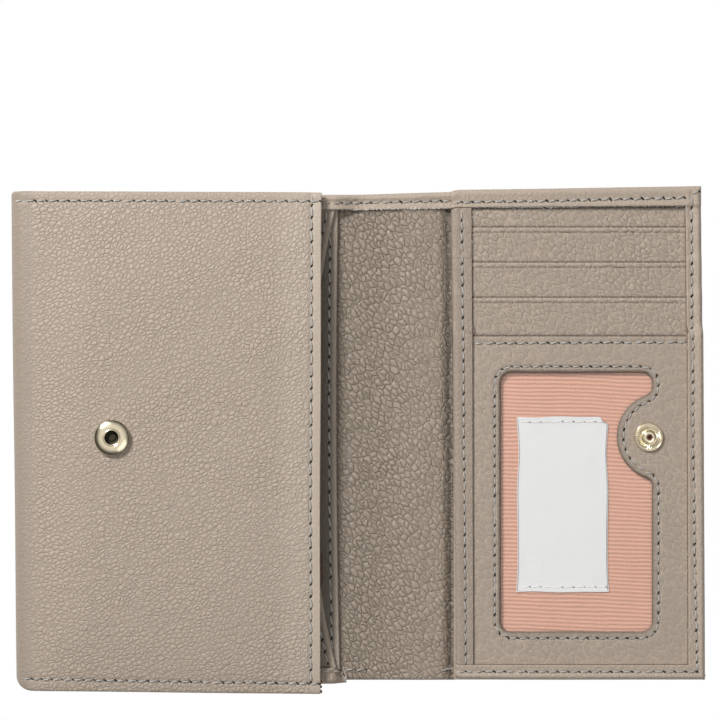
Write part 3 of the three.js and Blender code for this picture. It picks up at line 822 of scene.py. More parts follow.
RIGHT_EDGE = RIGHT_HIGH[0]
BLOCK_LEFT = STRIP_LOW[0]
STRIP_RIGHT = BLOCK_LEFT + STRIP_WIDTH
HEM_LEFT = RIGHT_EDGE - HEM_WIDTH
HEM_FOOT = TOP_EDGE - HEM_WIDTH
PANEL_TOP = PANEL_HIGH[2]
right_shift = EdgeShift(
    (BLOCK_LEFT, -TOP_EDGE),
    (RIGHT_EDGE, TOP_EDGE),
    left=(1.5, 0.1),
    right=(0.35, -0.35),
    bottom=(0.8, 0.8),
    top=(0.9, 2.0),
    corner=0.55,
)

# Steps of the plies under the side hem and the edge strip: each ply's upper edge and its top level
PLY_STEPS = [(PANEL_HIGH[1], PANEL_TOP)] + [(high[1], high[2]) for _, high in reversed(POCKETS)]


RAMP_LONG, RAMP_SHORT = 5, 1.2


def support(y, ramp=RAMP_LONG):
    """Top of the stacked plies at y, with the ramps that the hem's leather makes over their edges."""
    level = np.full(np.shape(y), BACKING_HIGH[2], float)
    above = [top for _, top in PLY_STEPS[1:]] + [BACKING_HIGH[2]]
    for (edge, top), lower in zip(PLY_STEPS, above):
        level = level + (top - lower) * (1 - smooth((np.asarray(y) - edge - 0.3) / ramp))
    return level


def ramp_beside(raw_edge):
    """Length of the ramps at this distance from the raw edge of a strip of leather."""
    return RAMP_SHORT + (RAMP_LONG - RAMP_SHORT) * np.clip(raw_edge / STRIP_WIDTH, 0, 1)


# Lines of the seams on the right block
RIGHT_SEAM = [(100.4, 76.5), (100.1, 40), (100.0, 0), (100.4, -40), (101.0, -75.9)]
TOP_SEAM = [(BLOCK_LEFT + 0.2, 75.0), (60, 75.2), (98.0, 75.6)]
BOTTOM_SEAM = [(BLOCK_LEFT + 0.2, -75.9), (101.0, -75.9)]
CORNER_SEAM = [(99.9, 76.5), (103.0, 77.1)]
STRIP_SEAM = [(25.9, 73.2), (26.0, 0), (26.1, -73.2)]
PANEL_SEAM = [(29.6, 30.1), (98.2, 30.4)]


def hem_roll(edge):
    """Extra height of the roll at a turned edge, and of the lip at its raw edge."""
    return 0.3 * bell(edge - 1.3, 0.8) + 0.12 * bell(edge - HEM_WIDTH + 0.5, 0.5)


def hem_height(x, y):
    """Upper face of the turned hems round the right block; the shell's inside where there is none."""
    side = x > HEM_LEFT
    top = (y > HEM_FOOT) & ~side
    bottom = (y < -HEM_FOOT) & ~side
    leaf = support(y, ramp_beside(x - HEM_LEFT)) + HEM_RISE
    corner = 0.55 * smooth((y - HEM_FOOT + 0.6) / 1.0)
    level = np.where(side, leaf + corner, SHELL)
    level = np.where(top, BACKING_HIGH[2] + HEM_RISE, level)
    level = np.where(bottom, PANEL_TOP + HEM_RISE, level)
    hem = side | top | bottom
    edge = np.minimum(np.minimum(RIGHT_EDGE - x, TOP_EDGE - y), y + TOP_EDGE)
    level = level - np.where(hem, rounding(edge, HEM_ROUND) - hem_roll(edge), 0)
    cut = np.where(side, x - HEM_LEFT, np.where(top, y - HEM_FOOT, -HEM_FOOT - y))
    level = level - np.where(hem, rounding(cut, CUT_ROUND), 0)
    drawn = drawn_in(x, y, [(seam, STITCH_SHORT) for seam in (RIGHT_SEAM, TOP_SEAM, BOTTOM_SEAM)])
    return level - np.where(hem, drawn, 0) + np.where(hem, 0.1 * ripple(x, y, 9, 11), 0)


def right_cover():
    steps = [edge for edge, _ in PLY_STEPS]
    xs = lines(BLOCK_LEFT, RIGHT_EDGE, 1.1, (HEM_LEFT, 100.2))
    ys = lines(-TOP_EDGE, TOP_EDGE, 1.0, (-HEM_FOOT, HEM_FOOT, 75.3, -75.9, *steps))
    looks = {"soft": (0, 1, 1, 1), "under": GRAIN_LEFT}
    return plate("right_cover_leather", xs, ys, 0, hem_height, SMOOTH, right_shift, **looks)


POCKET_EDGES = [high[1] for _, high in POCKETS] + [PANEL_HIGH[1]]


def contact_shadow(distance):
    """Painted shadow in the corner beside a ply's edge."""
    return 0.85 * bell(np.maximum(distance, 0), 0.5)


def pocket(number):
    low, high = POCKETS[number - 1]
    crease = high[1] - 1.75
    next_edge = POCKET_EDGES[number]

    def height(x, y):
        level = high[2] - rounding(high[1] - y, PLY_ROUND)
        level = level - 0.22 * bell(y - crease, 0.3)
        level = level + 0.12 * bell(y - high[1] + 0.8, 0.5)
        return level + 0.05 * ripple(x, y, 11, 20 + number)

    xs = lines(low[0], high[0], 1.2)
    ys = lines(high[1] - 16, high[1], 0.9, (crease, next_edge))
    # Painted highlight along the top of the folded edge, painted shade in the crease below it, and painted
    # shadow beside the edge of the ply that lies over it.
    layers = {
        "wear_and_highlight": lambda x, y: 0.5 * bell(high[1] - y - 0.5, 0.6),
        "shade": lambda x, y: 0.22 * bell(y - crease, 0.24) + contact_shadow(y - next_edge),
    }
    return plate(f"card_pocket_{number}_leather", xs, [low[1], *ys], low[2], height, GRAIN_SLOT, **layers)


def backing():
    level = BACKING_HIGH[2]
    xs = lines(BACKING_LOW[0], BACKING_HIGH[0], 1.5)
    ys = lines(BACKING_LOW[1], BACKING_HIGH[1], 1.5, (POCKET_EDGES[0], HEM_FOOT))
    height = lambda x, y: level + 0.05 * ripple(x, y, 12, 5)
    # Painted shadow above the first pocket's edge and below the top hem's raw edge.
    shade = lambda x, y: contact_shadow(y - POCKET_EDGES[0]) + contact_shadow(HEM_FOOT - y)
    return plate("card_backing_leather", xs, ys, BACKING_LOW[2], height, GRAIN_SLOT, shade=shade)


# Identity-card window, with the half-round tab that carries the stud
WINDOW_LEFT, WINDOW_RIGHT = 38.475, 87.075
WINDOW_BOTTOM, WINDOW_TOP = -62.6, 20.6
WINDOW_CORNER = 3.2
TAB_RADIUS = 14.1
TAB_REACH = 11.3
TAB_FILLET = 2.6
WINDOW_ROUND = 1.15
STUD_X = (STUD_LOW[0] + STUD_HIGH[0]) / 2
STUD_Y = (STUD_LOW[1] + STUD_HIGH[1]) / 2


def arc(x, y, radius, start, end, count):
    """Points on a circle's arc, from one angle in degrees to another."""
    angles = np.radians(np.linspace(start, end, count))
    return list(zip(x + radius * np.cos(angles), y + radius * np.sin(angles)))


def window_sides(offset):
    """The window's outline moved outwards into the leather: bottom, right, top and left side."""
    left, right = WINDOW_LEFT - offset, WINDOW_RIGHT + offset
    bottom, top = WINDOW_BOTTOM - offset, WINDOW_TOP + offset
    corner = WINDOW_CORNER + offset
    tab_x = WINDOW_RIGHT - TAB_REACH + TAB_RADIUS
    fillet, tab = TAB_FILLET + offset, TAB_RADIUS - offset
    inset = tab_x - WINDOW_RIGHT + TAB_FILLET
    reach = math.sqrt((TAB_RADIUS + TAB_FILLET) ** 2 - inset**2)
    swing = math.degrees(math.atan2(reach, -inset))
    fillet_x = WINDOW_RIGHT - TAB_FILLET
    return {
        "bottom": arc(left + corner, bottom + corner, corner, 225, 270, 6)
        + arc(right - corner, bottom + corner, corner, 270, 315, 6),
        "right": arc(right - corner, bottom + corner, corner, 315, 360, 6)
        + arc(fillet_x, STUD_Y - reach, fillet, 0, 180 - swing, 12)
        + arc(tab_x, STUD_Y, tab, -swing, swing - 360, 40)
        + arc(fillet_x, STUD_Y + reach, fillet, swing - 180, 0, 12)
        + arc(right - corner, top - corner, corner, 0, 45, 6),
        "top": arc(right - corner, top - corner, corner, 45, 90, 6)
        + arc(left + corner, top - corner, corner, 90, 135, 6),
        "left": arc(left + corner, top - corner, corner, 135, 180, 6)
        + arc(left + corner, bottom + corner, corner, 180, 225, 6),
    }


SIDE_POINTS = {"bottom": 70, "right": 200, "top": 70, "left": 110}


def evenly(line, count):
    """The same line with `count` points, evenly spaced, its last point left out."""
    return spots_along(line, lambda length: np.linspace(0, length, count, endpoint=False))


def window_ring(offset):
    sides = window_sides(offset)
    return np.vstack([evenly(sides[side], count) for side, count in SIDE_POINTS.items()])


def panel_rim():
    x0, x1, y0, y1 = PANEL_LOW[0], PANEL_HIGH[0], PANEL_LOW[1], PANEL_HIGH[1]
    corners = [(x0, y0), (x1, y0), (x1, y1), (x0, y1), (x0, y0)]
    counts = SIDE_POINTS.values()
    return np.vstack([evenly(side, count) for *side, count in zip(corners, corners[1:], counts)])


WINDOW_SEAM_AT = 2.0
WINDOW_SEAM = [*window_ring(WINDOW_SEAM_AT), window_ring(WINDOW_SEAM_AT)[0]]


def panel_height(x, y):
    drawn = drawn_in(x, y, [(PANEL_SEAM, STITCH_SHORT)])
    level = PANEL_TOP - drawn - rounding(PANEL_HIGH[1] - y, 0.5)
    return level + 0.06 * ripple(x, y, 15, 30)


def window_panel():
    """Rings from the window's rolled edge out to the rim of the panel, and back underneath."""
    rings = []
    for angle in np.radians(np.linspace(0, 90, 7)):
        ring = window_ring(WINDOW_ROUND * (1 - math.cos(angle)))
        drop = WINDOW_ROUND * (1 - math.sin(angle))
        rings.append(np.column_stack([ring, panel_height(*ring.T) - drop]))
    for offset in (1.45, 1.7, 1.9, 2.1, 2.35, 2.7):
        ring = window_ring(offset)
        drop = SEAM_DRAW * bell(offset - WINDOW_SEAM_AT, 0.4)
        rings.append(np.column_stack([ring, panel_height(*ring.T) - drop]))
    start, rim = window_ring(2.7), panel_rim()
    shares = [*np.linspace(0, 1, 30)[1:-1], 0.975, 0.99, 1]
    for share in sorted(shares):
        ring = start + (rim - start) * share
        rings.append(np.column_stack([ring, panel_height(*ring.T)]))
    under = PANEL_LOW[2] + 0.05
    rings.append(np.column_stack([rim, np.full(len(rim), under)]))
    inner = window_ring(0)
    rings.append(np.column_stack([inner, np.full(len(inner), under)]))
    piece = ring_skin("id_window_panel_leather", rings, GRAIN_PANEL, close=True)
    # Painted shade on the window's rolled edge and the lip under it, which also stands for the edge's darker
    # paint.
    rolled = [0.62, 0.6, 0.56, 0.5, 0.4, 0.28, 0.12]
    shade = np.zeros((len(rings), len(rim)))
    shade[: len(rolled)] = np.array(rolled)[:, None]
    shade[-1] = rolled[0]
    paint(piece, "shade", shade.ravel())
    return piece


STRIP_CREASE = 57.3


def edge_strip():
    def height(x, y):
        level = support(y, ramp_beside(STRIP_RIGHT - x)) + HEM_RISE
        level = level - rounding(x - BLOCK_LEFT, HEM_ROUND) - rounding(STRIP_RIGHT - x, CUT_ROUND)
        level = level - 0.3 * bell(y - STRIP_CREASE, 0.35)
        return level - drawn_in(x, y, [(STRIP_SEAM, STITCH_SHORT)]) + 0.08 * ripple(x, y, 8, 12)

    xs = lines(BLOCK_LEFT, STRIP_RIGHT, 0.8, (26,))
    ys = lines(STRIP_LOW[1], STRIP_HIGH[1], 1.0, [STRIP_CREASE, *(edge for edge, _ in PLY_STEPS)])
    return plate("panel_edge_strip_leather", xs, ys, STRIP_LOW[2], height, STRIP_LEATHER, right_shift)


RIB_PITCH = 1.28
RIB_SLANT = 0.035
RIB_HEIGHT = 0.1


def rib(x, y):
    """-1 between the ribs and 1 on top of them."""
    waver = 0.45 * ripple(x, y, 30, 40) + 0.1 * ripple(x, y, 6, 47)
    return np.sin(2 * math.pi * (y + RIB_SLANT * x + waver) / RIB_PITCH)


def id_cloth():
    low, high = box("id_lining")
    xs = lines(low[0], high[0], 1.6)
    ys = np.arange(low[1], high[1], RIB_PITCH / 7)
    height = lambda x, y: high[2] - 0.12 + RIB_HEIGHT * rib(x, y)
    piece = plate("id_lining_cloth", xs, ys, low[2], height, PINK_CLOTH)
    # The rib layer carries the painted shade and highlight of the ribs.
    tone(piece, "rib", lambda x, y, z: 0.5 + 0.5 * rib(x, y))
    return piece


LABEL_HEM = 0.35
LABEL_FOLD = 1.7
LABEL_STITCH = 3.6
LABEL_NOTCH = 1.5
SELVEDGE_RADIUS = 0.1


def label_cloth():
    low, high = box("woven_label")
    middle = (low + high) / 2

    def height(x, y):
        curl = 0.18 * smooth(1 - (high[1] - y) / 2.5) + 0.12 * smooth(1 - (y - low[1]) / 2)
        return high[2] + 0.05 * ripple(x, y, 14, 41) + curl

    def waver(points):
        moved = np.array(points, float)
        side = np.clip((moved[:, 0] - middle[0]) / (high[0] - middle[0]), -1, 1)
        moved[:, 0] -= 0.4 * side**3 * (1 + ripple(moved[:, 1], 0 * side, 16, 43))
        up = np.clip((moved[:, 1] - middle[1]) / (high[1] - middle[1]), -1, 1)
        moved[:, 1] -= 0.4 * up**7 * (1 + ripple(moved[:, 0], 0 * side, 9, 44))
        notch = LABEL_NOTCH * smooth((side - 0.8) / 0.2) * smooth((up - 0.92) / 0.08)
        moved[:, :2] -= notch[:, None]
        return moved

    xs = lines(low[0], high[0], 1.2)
    ys = lines(low[1], high[1], 1.2)
    piece = plate("woven_label_cloth", xs, ys, low[2], height, WHITE_CLOTH, waver)
    dressed(piece, "right_block", "white_cloth", "woven_label")
    for side, x in (("left", low[0] + LABEL_HEM), ("right", high[0] - LABEL_HEM)):
        line = [(x, y) for y in np.linspace(low[1] + 0.4, high[1] - 0.4, 40)]
        selvedge = cord(f"label_selvedge_{side}", line, height, SELVEDGE_RADIUS, SELVEDGE_THREAD, waver)
        dressed(selvedge, "right_block", "white_cloth")
    for end, y in (("top", high[1] - LABEL_FOLD), ("bottom", low[1] + LABEL_FOLD)):
        seam = [(low[0] + 0.8, y), (high[0] - 0.8, y)]
        threads, holes = stitches(f"thread_label_{end}", seam, LABEL_STITCH, height, waver, 45, 0.6)
        threads.data.materials[0] = FIBRES
        dressed(threads, "right_block", "white_cloth")
        dressed(holes, "right_block", "white_cloth")


def window_film():
    low, high = box("id_window_film")
    xs, ys = lines(low[0], high[0], 2), lines(low[1], high[1], 2)
    height = lambda x, y: high[2] + 0.05 * ripple(x, y, 34, 42)
    return plate("id_window_clear_film", xs, ys, low[2], height, FILM)


def inner_ply(side, step, start=None, end=None):
    """Inner leather inside a block, which shows at its edges only."""
    low, high = box(f"inner_leather_{side}")
    xs, ys = lines(start or low[0], end or high[0], step), lines(low[1], high[1], step)
    ply = plate(f"inner_leather_{side}_ply", xs, ys, low[2], flat_at(high[2]), GRAIN_SPINE)
    dressed(ply, f"{side}_block", "inner_leather", f"inner_leather_{side}")


def right_seams():
    seams = (
        ("side", RIGHT_SEAM, 1),
        ("top", TOP_SEAM, 2),
        ("corner", CORNER_SEAM, 7),
        ("bottom", BOTTOM_SEAM, 3),
    )
    for name, seam, seed in seams:
        sewn(f"thread_right_{name}", seam, STITCH_SHORT, hem_height, "right_block", right_shift, seed)
    strip_level = lambda x, y: support(y, ramp_beside(STRIP_RIGHT - x)) + HEM_RISE - SEAM_DRAW * 0.7
    sewn("thread_edge_strip", STRIP_SEAM, STITCH_SHORT, strip_level, "right_block", right_shift, 4)
    sewn("thread_panel_top", PANEL_SEAM, STITCH_SHORT, panel_height, "right_block", None, 5)


def right_edges():
    """Loose fibres and brown cut edges where the hems and the edge strip end, the cut edges also standing
    for painted shadow lines, and one torn corner.
    """
    hem_top = SPINE_HIGH[2]
    frayed = (
        ("right_top", (HEM_LEFT, HEM_FOOT), (STRIP_RIGHT, HEM_FOOT), hem_top, 170, 61, FIBRE_LENGTH),
        ("right_top_thick", (62, HEM_FOOT), (36, HEM_FOOT), hem_top, 130, 62, FIBRE_LENGTH),
        ("right_side", (HEM_LEFT, -66), (HEM_LEFT, 30), PANEL_TOP + 0.9, 40, 63, 0.5),
        ("strip", (STRIP_RIGHT, 73), (STRIP_RIGHT, 48), hem_top + 0.9, 40, 64, 0.7),
    )
    for name, start, end, height, count, seed, length in frayed:
        fuzz(f"fibres_{name}", start, end, height, count, "right_block", right_shift, seed, length)
    on_plies = lambda x, y: support(y) + 0 * x
    side, strip, foot = HEM_LEFT - RAW_OUT, STRIP_RIGHT + RAW_OUT, RAW_OUT - HEM_FOOT
    cut = (
        ("side", (side, -HEM_FOOT), (side, 72.5), on_plies),
        ("bottom", (STRIP_RIGHT, foot), (HEM_LEFT, foot), flat_at(PANEL_TOP)),
        ("strip", (strip, -HEM_FOOT), (strip, HEM_FOOT), on_plies),
    )
    for name, start, end, height in cut:
        raw_edge(f"raw_edge_{name}", start, end, height, "right_block", right_shift)
    tip = [(RIGHT_EDGE + 0.1, 0.8 - TOP_EDGE, 5.6), (RIGHT_EDGE + 0.3, 1.7 - TOP_EDGE, 6.2)]
    flakes("torn_right_corner", tip, 0.45, "right_block", TORN_LEATHER, 65)


def build_right_block():
    body = "right_block"
    dressed(right_cover(), body, "tan_leather", "right_cover")
    inner_ply("right", 6, start=BLOCK_LEFT + 0.3)
    dressed(backing(), body, "tan_leather", "card_backing")
    for number in (1, 2, 3):
        dressed(pocket(number), body, "tan_leather", f"card_pocket_{number}")
    dressed(id_cloth(), body, "pink_lining", "id_lining")
    label_cloth()
    dressed(window_film(), body, "clear_film", "id_window_film")
    dressed(window_panel(), body, "tan_leather", "id_panel")
    dressed(edge_strip(), body, "tan_leather", "panel_edge_strip")
    right_seams()
    right_edges()
    window_level = lambda x, y: panel_height(x, y) - SEAM_DRAW * 0.8
    sewn("thread_window", WINDOW_SEAM, STITCH_SHORT * 0.92, window_level, body, None, 6)


# Spine, whose leather runs over both folds without a break

SPINE_TOP = INNER_HIGH[2]
SPINE_SEAM_Y = 75.9
BOTTOM_SEAM_Y = 75.3
BULGE_X = 12
BULGE_WIDTH = 7
BULGE = 0.7
GROOVE_START = 18.8
GROOVE_WIDTH = 2.4
GROOVE_FLOOR = 0.1
LOWER_LOW, LOWER_HIGH = box("divider_lower")
UPPER_LOW, UPPER_HIGH = box("divider_upper")
COVER_END = LOWER_HIGH[0]
LEFT_HEM_TOP = UPPER_HIGH[2] + HEM_RISE
HEM_CLIMB_FROM, HEM_CLIMB_TO = -6, -15.9
LEFT_HEM_END = -15.9
INNER_LEFT_END = -16.5
FLAP_END = -11.2
HEM_UNDER = 0.3


def top_drop(x, y):
    """The spine's top edge is a little lower than the blocks', most at the left."""
    high = smooth((y - TOP_EDGE + 10) / 10)
    return high * (0.85 - 1.1 * np.clip((x + 14) / 36, 0, 1)) * smooth((x + 42) / 12)


def spine_shift(points):
    """Lowers the spine's top edge a little, and follows the right block's left edge."""
    moved = np.array(points, float)
    x, y = moved[:, 0].copy(), moved[:, 1].copy()
    moved[:, 1] -= top_drop(x, y)
    edge = np.array(points, float)
    edge[:, 0] = BLOCK_LEFT
    pull = right_shift(edge)[:, 0] - BLOCK_LEFT
    moved[:, 0] += smooth((x - BULGE_X) / (BLOCK_LEFT - BULGE_X)) * pull
    return moved


def spine_inner_height(x, y):
    level = SPINE_TOP - rounding(y + TOP_EDGE, 1.0)
    level = level + 0.15 * ripple(x, y, 10, 50) + BULGE * bell(x - BULGE_X, BULGE_WIDTH)
    floor = SHELL + GROOVE_FLOOR
    folds = 0.12 * np.sin(y * 2.6 + 3 * ripple(x, y, 20, 52))
    level = level + folds * bell(x - GROOVE_START - 1, 1.3)
    return level + (floor - level) * smooth((x - GROOVE_START) / GROOVE_WIDTH)


def groove_shade(x, y):
    """Painted shade where the leather dives beside the right block, at the foot of the divider's edge, below
    the top hem's raw edge, and a little towards the left.
    """
    groove = 0.36 * smooth((x - GROOVE_START) / GROOVE_WIDTH)
    groove = groove + 0.45 * bell(x - GROOVE_START - GROOVE_WIDTH, 0.6)
    foot = 0.3 * bell(np.maximum(x - COVER_END, 0), 1.2) + 0.13 * smooth((6 - x) / 16)
    hem = 0.5 * bell(np.maximum(HEM_FOOT - y, 0), 0.6)
    return groove + foot + hem


def top_hem_height(x, y):
    """The top hem, which climbs from the spine over the edges of the dividers."""
    climb = smooth((HEM_CLIMB_FROM - x) / (HEM_CLIMB_FROM - HEM_CLIMB_TO))
    level = SPINE_HIGH[2] + (LEFT_HEM_TOP - SPINE_HIGH[2]) * climb
    seam = [(FOLD_CENTRE, SPINE_SEAM_Y), (23, SPINE_SEAM_Y)]
    edge = TOP_EDGE - y
    level = level - rounding(edge, HEM_ROUND) - rounding(y - HEM_FOOT, CUT_ROUND) + hem_roll(edge)
    level = level + 0.35 * bell(x - BULGE_X, BULGE_WIDTH)
    return level - drawn_in(x, y, [(seam, STITCH_SHORT)]) + 0.1 * ripple(x, y, 7, 51)


def bottom_hem_height(x, y):
    """The bottom hem over the dividers, with a torn end that lies on the spine."""
    climb = smooth((FLAP_END - x) / (FLAP_END - HEM_CLIMB_TO))
    level = SPINE_HIGH[2] + 0.2 + (LEFT_HEM_TOP - SPINE_HIGH[2]) * climb
    edge = y + TOP_EDGE
    level = level - rounding(edge, HEM_ROUND) - rounding(-HEM_FOOT - y, CUT_ROUND) + hem_roll(edge)
    seam = [(FOLD_CENTRE, -BOTTOM_SEAM_Y), (FLAP_END, -BOTTOM_SEAM_Y)]
    return level - drawn_in(x, y, [(seam, STITCH_SHORT)]) + 0.16 * ripple(x, y, 5, 53)


def flap_shift(points):
    """Slants and frays the flap's end, and lets it hang a little below the spine's edge."""
    moved = np.array(points, float)
    x, y = moved[:, 0].copy(), moved[:, 1].copy()
    end = smooth((x - LEFT_HEM_END - 1) / (FLAP_END - LEFT_HEM_END - 1))
    up = np.clip((y + TOP_EDGE) / (TOP_EDGE - HEM_FOOT), 0, 1)
    moved[:, 1] -= 0.8 + end * up * 1.7
    moved[:, 0] += end * (0.3 * ripple(y, 0 * x, 1.7, 54) - 1.2 * up)
    return moved


def flap_lowered(points):
    """The flap's shift for its stitches, which stay in line with the spine's."""
    return flap_shift(points) + np.array([0, 0.8, 0])


def blended(piece, slot, node, side):
    """Hides the CAD node that a piece stands for and bakes the piece's transform into its mesh."""
    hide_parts(node)
    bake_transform(piece)
    return piece


def spine_stitches(name, start, end, y, height, side, shift=spine_shift):
    """Stitches along the spine, at one side of it."""
    seam = [(start, y), (end, y)]
    for piece in stitches(name, seam, STITCH_SHORT, height, shift, 8 + side):
        blended(piece, "tan_leather", "spine_cover", side)


def spine_half(side, end, inner_end, hem_end):
    """One half of the spine's leather, from its middle over a fold to the block beside it."""
    tag = "left" if side < 0 else "right"
    span = lambda stop: lines(min(0, stop), max(0, stop), 0.8, (side * FOLD_AT,))
    tall = lines(-TOP_EDGE, TOP_EDGE, 2.4)
    flat = flat_at(SHELL - LEAST_PLY)
    shell = plate(f"spine_shell_{tag}", span(end), tall, 0, flat, GRAIN_LEFT, spine_shift, soft=(0, 0, 1, 1))
    rows = lines(HEM_FOOT, TOP_EDGE, 0.8, (SPINE_SEAM_Y,))
    hem = plate(f"spine_hem_{tag}", span(hem_end), rows, HEM_UNDER, top_hem_height, SMOOTH, spine_shift)
    blended(join(f"spine_cover_{tag}", [shell, hem]), "tan_leather", "spine_cover", side)
    rows = lines(INNER_LOW[1], HEM_FOOT + 2, 0.9)
    layers = {"shade": groove_shade, "calm": lambda x, y: 0.3 * smooth((x - 2) / 14)}
    name = f"spine_inner_{tag}"
    inner = plate(name, span(inner_end), rows, SHELL, spine_inner_height, GRAIN_SPINE, spine_shift, **layers)
    blended(inner, "inner_leather", "inner_leather_spine", side)
    start, stop = sorted((0, hem_end))
    spine_stitches(f"thread_spine_{tag}", start, stop, SPINE_SEAM_Y, top_hem_height, side)
    raw = (stop, HEM_FOOT), (start, HEM_FOOT)
    fibres = fuzz(f"fibres_spine_{tag}", *raw, SPINE_HIGH[2], 60, None, spine_shift, 60 + side)
    blended(fibres, "tan_leather", "spine_cover", side)


def build_spine():
    spine_half(1, BLOCK_LEFT + 0.15, BLOCK_LEFT + 0.1, BLOCK_LEFT + 0.1)
    spine_half(-1, COVER_END - 0.3, INNER_LEFT_END, LEFT_HEM_END)
    xs = lines(LEFT_HEM_END, FLAP_END, 0.6)
    ys = lines(-TOP_EDGE, -HEM_FOOT, 0.6, (-BOTTOM_SEAM_Y,))
    flap = plate("spine_bottom_flap", xs, ys, HEM_UNDER, bottom_hem_height, SMOOTH_DARK, flap_shift)
    blended(flap, "tan_leather", "spine_cover", -1)
    seams = (
        ("flap", LEFT_HEM_END, FLAP_END - 0.8, bottom_hem_height, -1, flap_lowered),
        ("end", FLAP_END - 0.8, -4.9, spine_inner_height, -1, spine_shift),
        ("corner", 17.8, BLOCK_LEFT + 0.2, spine_inner_height, 1, spine_shift),
    )
    for name, start, end, height, side, shift in seams:
        spine_stitches(f"thread_spine_{name}", start, end, -BOTTOM_SEAM_Y, height, side, shift)
    raw = (FLAP_END - 1, -74.6), (FLAP_END + 0.1, -79)
    torn = fuzz("fibres_flap_end", *raw, SPINE_HIGH[2], 26, None, None, 66, 0.7)
    blended(torn, "tan_leather", "spine_cover", -1)


# Left block

LEFT_FOLD = LEFT_LOW[0]
FOLD_RADIUS = 5.5
FOLD_CENTRE = LEFT_FOLD + FOLD_RADIUS
FRONT_EDGE = -19.475
FRONT_TOP = TOP_EDGE - 0.3
FRONT_BOTTOM = -TOP_EDGE - 3.2
FRONT_SEAM = 9.4
FRONT_RISE = 3.1
FOLD_SHOULDER = 20
FOLD_SHARE = 0.35
TURNED_WIDTH = 7
TURNED = 0.6
FOLD_CORNER_TOP, FOLD_CORNER_BOTTOM = 1.3, 3.0
FOLD_CORNER_REACH = 9
FRONT_ROUND, FRONT_LIP = 0.85, 0.3
COVER_FADE = 8
CROWN_WAVE, CROWN_WAVE_SIZE, CROWN_WAVE_SEED = 0.22, 42, 60

left_shift = EdgeShift(
    (LEFT_FOLD, FRONT_BOTTOM),
    (FRONT_EDGE, FRONT_TOP),
    left=(1.1, -0.6),
    right=(-0.2, 0.4),
    bottom=(0.7, -0.5),
    top=(0.45, -0.1),
    reach=14,
)
FRONT_SEAMS = [
    ([(LEFT_FOLD + 0.9, 75.4), (FRONT_EDGE - 0.4, 75.6)], STITCH_SHORT),
    ([(LEFT_FOLD + 2.6, -77.9), (FRONT_EDGE - 0.4, -78.6)], STITCH_SHORT),
    ([(-22.5, 78.2), (-22.5, -78.2)], STITCH_LONG),
]


def front_top(x, v):
    """Height of the crowned front panel at the share v of its length, -1 to 1."""
    share = FOLD_SHARE + (1 - FOLD_SHARE) * smooth((x - FOLD_CENTRE) / FOLD_SHOULDER)
    return FRONT_SEAM + FRONT_RISE * (1 - v**4) * share


def front_share(y):
    """Where y lies along the front panel: -1 at its lower end and 1 at its upper end."""
    return (y - (FRONT_TOP + FRONT_BOTTOM) / 2) / ((FRONT_TOP - FRONT_BOTTOM) / 2)


def crown_wave(x, y):
    """The slow waves of the front panel."""
    return CROWN_WAVE * ripple(x, y, CROWN_WAVE_SIZE, CROWN_WAVE_SEED)


def front_level(x, y):
    """The front panel's upper face."""
    turned = np.clip((FOLD_CENTRE - x) / FOLD_RADIUS, 0, 1)
    level = front_top(x, front_share(y)) * (1 + np.sqrt(1 - turned**2)) / 2 - drawn_in(x, y, FRONT_SEAMS)
    return level + crown_wave(x, y) + 0.05 * ripple(x, y, 12, 61)


def cover_line(v, inset, xs):
    """Points [x, z] of the cover at the share v of its height: round the fold and along the front."""
    height = front_top(FOLD_CENTRE, v)
    angles = np.radians(np.linspace(-90, -270, 25))
    x = FOLD_CENTRE + (FOLD_RADIUS - inset) * np.cos(angles)
    z = height / 2 + (height / 2 - inset) * np.sin(angles)
    front = [(at, front_top(at, v) - inset) for at in xs]
    return [*zip(x, z), *front]


def cover_ring(station, back_xs, front_xs):
    """A section of the cover: along the back, round the fold, along the front, and back inside."""
    v = front_share(station)
    edge = min(station - FRONT_BOTTOM, FRONT_TOP - station)
    drop = float(rounding(edge, FRONT_ROUND))
    corner = float(rounding(edge, FOLD_CORNER_TOP if v > 0 else FOLD_CORNER_BOTTOM))
    turned = TURNED if edge < TURNED_WIDTH else 0
    outer = [(x, 0.0) for x in back_xs] + cover_line(v, 0, front_xs)
    inner = [(x, SHELL) for x in back_xs] + cover_line(v, SHELL, front_xs)
    height = front_top(FOLD_CENTRE, v)
    ring = []
    for position, (x, z) in enumerate([*outer, *reversed(inner)]):
        x += corner * (1 - float(smooth((x - LEFT_FOLD) / FOLD_CORNER_REACH)))
        share = float(smooth(z / height))
        y = station * share + (1 - share) * v * TOP_EDGE
        upper = z > height / 2
        fade = float(smooth((x - LEFT_FOLD) / COVER_FADE))
        if not upper:
            y -= float(top_drop(x, y))
        elif position < len(outer):
            z += float(front_level(max(x, FOLD_CENTRE), y) - front_top(x, v)) * fade - drop
            z -= float(rounding(FRONT_EDGE - x, FRONT_LIP))
        else:
            z += drop * 0.6 - turned * float(smooth((x - FOLD_CENTRE) / 4))
            z += float(crown_wave(x, y)) * fade
        ring.append((x, y, z))
    return left_shift(np.array(ring))


